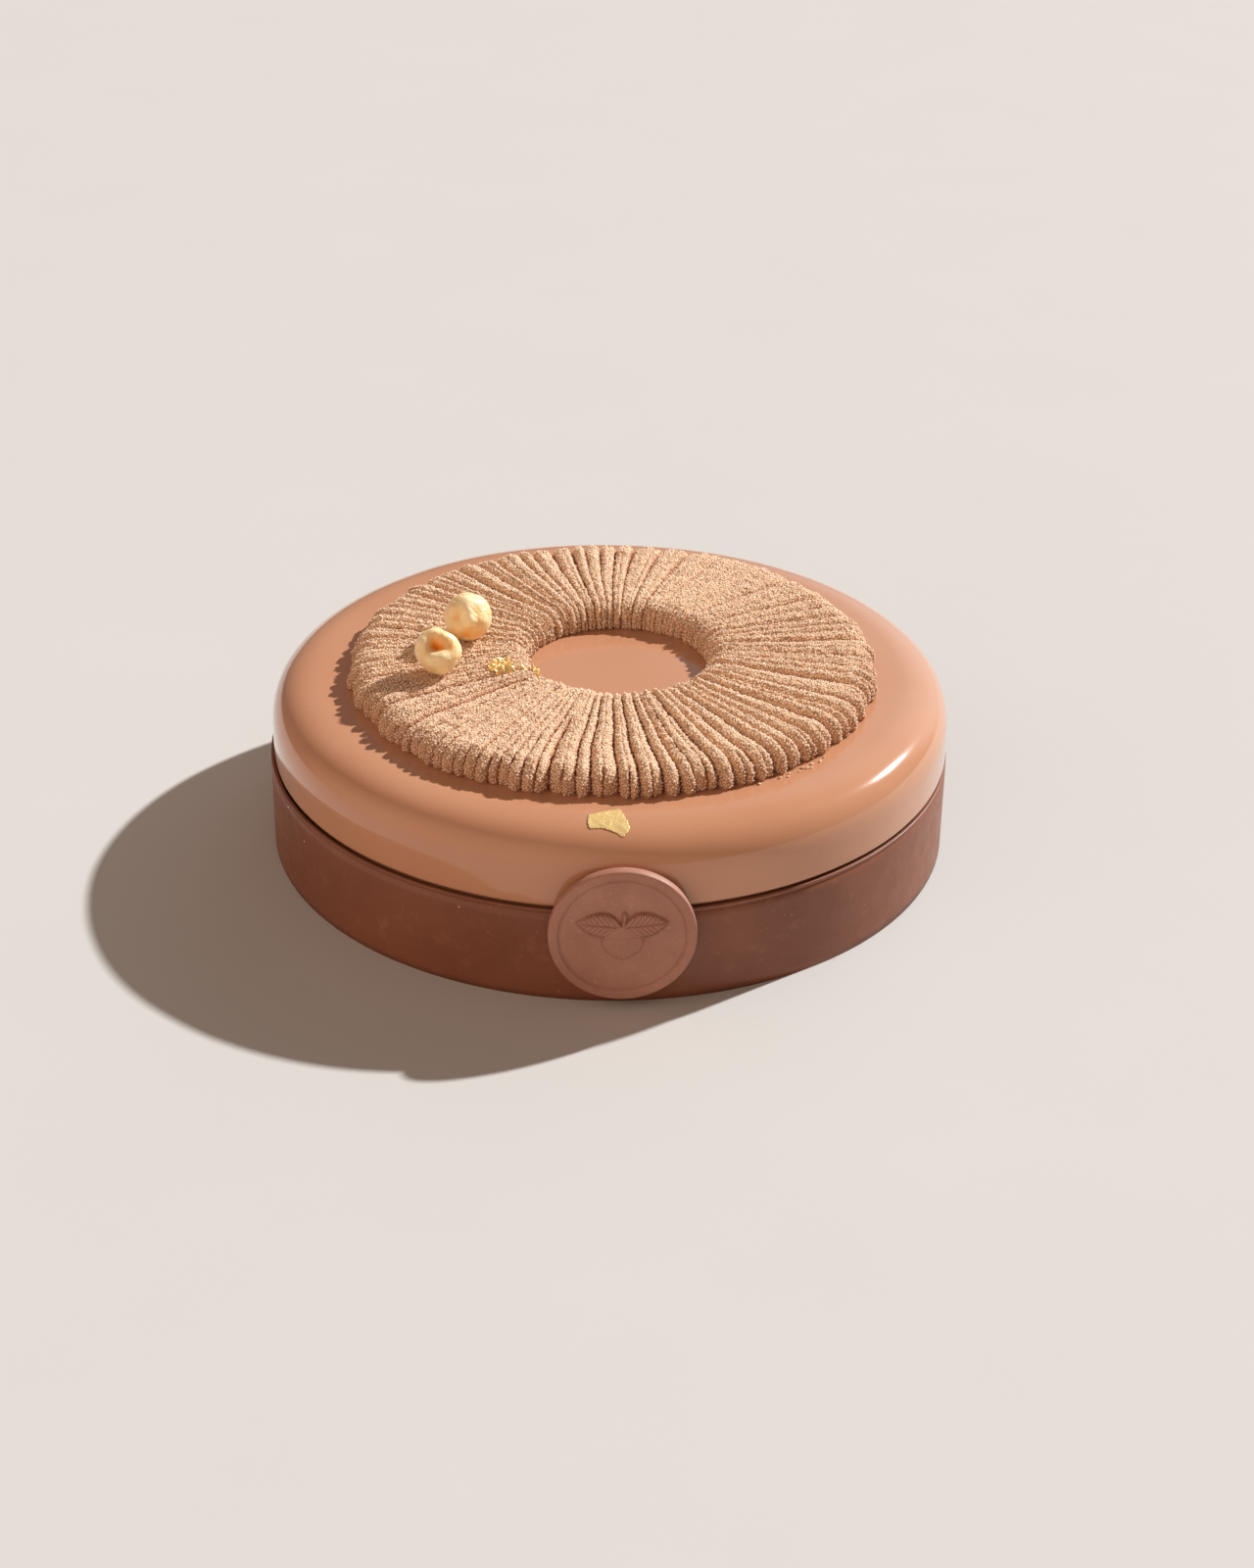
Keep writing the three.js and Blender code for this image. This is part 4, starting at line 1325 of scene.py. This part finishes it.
def make_crumb_tree():
    """Sets a crumb of its own size and turn on every point."""
    tree, given = start_geometry_tree("Set Crumbs", {
        "Radius": "Float",
        "Seed": "Int",
        "Material": "Material",
    })
    inputs = {"Radius": given["Radius"], "Subdivisions": 2}
    ball = add_node(tree, "GeometryNodeMeshIcoSphere", inputs).outputs["Mesh"]
    crumb = roughen(tree, ball, 1 / (0.5 * MM), given["Radius"])
    crumbs = set_on_points(
        tree, given["Geometry"], crumb, given["Seed"], (0.5, 0.5, 0.5), (1.3, 1.3, 1.1), 9,
    )
    end_geometry_tree(tree, crumbs, given["Material"])
    return tree


class HAZELNUT_CAKE_OT_crumbs(Operator):
    """Makes the crumbs beside the ring and the specks on the band"""

    bl_idname = "hazelnut_cake.crumbs"
    bl_label = "Crumbs"

    def execute(self, context):
        settings = context.scene.cake_crumbs
        ring = context.scene.cake_ring
        on_glaze = make_surface_finder("glazed_body")
        beside_ring = []
        for angle, distance in CRUMBS_BY_RING:
            x, y = on_circle(angle, distance * MM)
            x += ring.centre_x
            y += ring.centre_y
            beside_ring.append((x, y, on_glaze(x, y) + settings.radius * 0.5))
        on_band = []
        for angle, height in SPECKS_ON_BAND:
            on_band.append((*on_circle(angle, BAND_HIGH.y), height * MM))
        angle, distance = CRUMB_BY_BAND
        on_band.append((*on_circle(angle, distance * MM), settings.radius * 0.9))
        groups = (("crumbs_by_ring", beside_ring, 1.0), ("specks_on_band", on_band, 0.6))
        for name, points, scale in groups:
            mesh = grow(name, new_mesh(name + "_points", points), make_crumb_tree(), {
                "Radius": settings.radius * scale,
                "Seed": settings.seed,
                "Material": bpy.data.materials["velvet_grains"],
            })
            add_piece(name, mesh, None, "piped_cream")
        return {"FINISHED"}


# ---- Stage ----

# Each light's colour, and for the soft ones the direction they come from and the cosines of
# the angle from it at which they begin and are full.
SKY_COLOUR = (1.0, 0.88, 0.8)
FRONT_LIGHT = ((1.0, 0.72, 0.55), (-0.75, -0.66, 0.03), 0.12, 0.9)
GLOW_LIGHT = ((0.98, 0.99, 1.0), (0.5, 0.8, 0.34), 0.84, 0.99)
SUN_COLOUR = (0.93, 0.975, 1.0)
# Where the camera stands, in mm, and its turns in degrees: about +Z, up from straight down,
# and about its own line of sight.
CAMERA_PLACE = (-26.65, -656.19, 377.0)
CAMERA_HEADING = -2.765
CAMERA_TIP = 60.83
CAMERA_ROLL = 0.739


class StageSettings(PropertyGroup):
    """Floor, light and camera."""

    floor_size: length("Floor Size", "Side of the square floor", 30.0)
    floor_colour: tint("Floor Colour", "Pale floor", 201, 196, 191)
    backdrop_colour: tint("Backdrop Colour", "What shows past the floor's far edge", 228, 221, 214)
    sky_strength: number("Sky Strength", "Soft light from above and behind", 0.16)
    front_strength: number("Front Strength", "Warm soft light from the front", 1.08)
    glow_strength: number("Glow Strength", "Bright studio wall behind on the right", 0.85)
    sun_strength: number("Sun Strength", "Low sun from behind on the right", 5.7)
    sun_azimuth: bearing("Sun Azimuth", "Where the sun stands, from +X towards +Y", 32.8)
    sun_elevation: bearing("Sun Elevation", "Height of the sun", 35)
    sun_width: bearing("Sun Width", "How wide the sun looks, which softens its shadows", 1.6)
    lens: number("Lens", "Focal length in mm", 63.8)


def make_floor(settings):
    half = settings.floor_size / 2
    corners = [(-half, -half, 0), (half, -half, 0), (half, half, 0), (-half, half, 0)]
    mesh = new_mesh("floor", corners, faces=[(0, 1, 2, 3)])
    material, tree, shader, coordinates = start_material("pale_floor")
    shade = dimmed(settings.floor_colour, 0.97)
    set_shader(tree, shader, {
        "Base Color": blend_colours(tree, noise(tree, coordinates, 60, 4), shade, settings.floor_colour),
        "Roughness": 0.85,
        "Specular IOR Level": 0.2,
    })
    mesh.materials.append(material)
    floor = bpy.data.objects.new("floor", mesh)
    bpy.context.scene.collection.objects.link(floor)


def make_sky(scene, settings):
    """Dim light from above, warm light from the front and a bright wall behind on the right."""
    world = bpy.data.worlds.new("soft_studio")
    world.use_nodes = True
    tree = world.node_tree
    direction = add_node(tree, "ShaderNodeTexCoord").outputs["Generated"]
    light = dimmed(SKY_COLOUR, settings.sky_strength)
    soft_lights = ((FRONT_LIGHT, settings.front_strength), (GLOW_LIGHT, settings.glow_strength))
    for (colour, towards, begins, full), strength in soft_lights:
        inputs = {0: direction, 1: Vector(towards).normalized()}
        nearness = add_node(tree, "ShaderNodeVectorMath", inputs, operation="DOT_PRODUCT")
        share = spread(tree, nearness.outputs["Value"], begins, full)
        share.node.interpolation_type = "SMOOTHSTEP"
        light = blend_colours(tree, share, light, dimmed(colour, strength))
    seen = add_node(tree, "ShaderNodeLightPath").outputs["Is Camera Ray"]
    shown = blend_colours(tree, seen, light, settings.backdrop_colour)
    tree.links.new(shown, tree.nodes["Background"].inputs["Color"])
    scene.world = world


def make_sun(scene, settings):
    light = bpy.data.lights.new("low_sun", "SUN")
    light.energy = settings.sun_strength
    light.angle = settings.sun_width
    light.color = SUN_COLOUR
    sun = bpy.data.objects.new("low_sun", light)
    up = settings.sun_elevation
    azimuth = settings.sun_azimuth
    towards = (math.cos(up) * math.cos(azimuth), math.cos(up) * math.sin(azimuth), math.sin(up))
    sun.rotation_mode = "QUATERNION"
    sun.rotation_quaternion = Vector(towards).to_track_quat("Z", "Y")
    scene.collection.objects.link(sun)


def make_camera(scene, settings):
    """A camera that sees the cake as the photo does."""
    camera_data = bpy.data.cameras.new("camera")
    camera_data.lens = settings.lens
    camera_data.sensor_width = 36.0
    camera_data.clip_start = 0.01
    camera_data.clip_end = 50.0
    camera = bpy.data.objects.new("camera", camera_data)
    place = Matrix.Translation([part * MM for part in CAMERA_PLACE])
    turned = Matrix.Rotation(math.radians(CAMERA_HEADING), 4, "Z")
    tipped = Matrix.Rotation(math.radians(CAMERA_TIP), 4, "X")
    rolled = Matrix.Rotation(math.radians(CAMERA_ROLL), 4, "Z")
    camera.matrix_world = place @ turned @ tipped @ rolled
    scene.collection.objects.link(camera)
    scene.camera = camera


class HAZELNUT_CAKE_OT_stage(Operator):
    """Sets the pale floor, the light and the camera"""

    bl_idname = "hazelnut_cake.stage"
    bl_label = "Floor, Light and Camera"

    def execute(self, context):
        scene = context.scene
        settings = scene.cake_stage
        make_floor(settings)
        make_sky(scene, settings)
        make_sun(scene, settings)
        make_camera(scene, settings)
        scene.view_settings.view_transform = "Standard"
        scene.view_settings.look = "None"
        return {"FINISHED"}


# ---- Add-on ----

# Each piece's operator, the name of its settings in the scene and their class.
PIECES = (
    (HAZELNUT_CAKE_OT_glaze, "cake_glaze", GlazeSettings),
    (HAZELNUT_CAKE_OT_band, "cake_band", BandSettings),
    (HAZELNUT_CAKE_OT_ring, "cake_ring", RingSettings),
    (HAZELNUT_CAKE_OT_nuts, "cake_nuts", NutSettings),
    (HAZELNUT_CAKE_OT_gold_leaf, "cake_leaf", LeafSettings),
    (HAZELNUT_CAKE_OT_seal, "cake_seal", SealSettings),
    (HAZELNUT_CAKE_OT_crumbs, "cake_crumbs", CrumbSettings),
    (HAZELNUT_CAKE_OT_stage, "cake_stage", StageSettings),
)


class HAZELNUT_CAKE_PT_panel(Panel):
    """Lists the cake's pieces and their settings"""

    bl_idname = "HAZELNUT_CAKE_PT_panel"
    bl_label = "Hazelnut Cake"
    bl_space_type = "VIEW_3D"
    bl_region_type = "UI"
    bl_category = "Cake"

    def draw(self, context):
        for operator, settings_name, settings_class in PIECES:
            box = self.layout.box()
            box.operator(operator.bl_idname)
            for name in settings_class.__annotations__:
                box.prop(getattr(context.scene, settings_name), name)


def register():
    for operator, settings_name, settings_class in PIECES:
        bpy.utils.register_class(settings_class)
        setattr(bpy.types.Scene, settings_name, PointerProperty(type=settings_class))
        bpy.utils.register_class(operator)
    bpy.utils.register_class(HAZELNUT_CAKE_PT_panel)


def unregister():
    bpy.utils.unregister_class(HAZELNUT_CAKE_PT_panel)
    for operator, settings_name, settings_class in reversed(PIECES):
        bpy.utils.unregister_class(operator)
        delattr(bpy.types.Scene, settings_name)
        bpy.utils.unregister_class(settings_class)


def main():
    register()
    for operator, *_ in PIECES:
        group, name = operator.bl_idname.split(".")
        getattr(getattr(bpy.ops, group), name)()


if __name__ == "__main__":
    main()
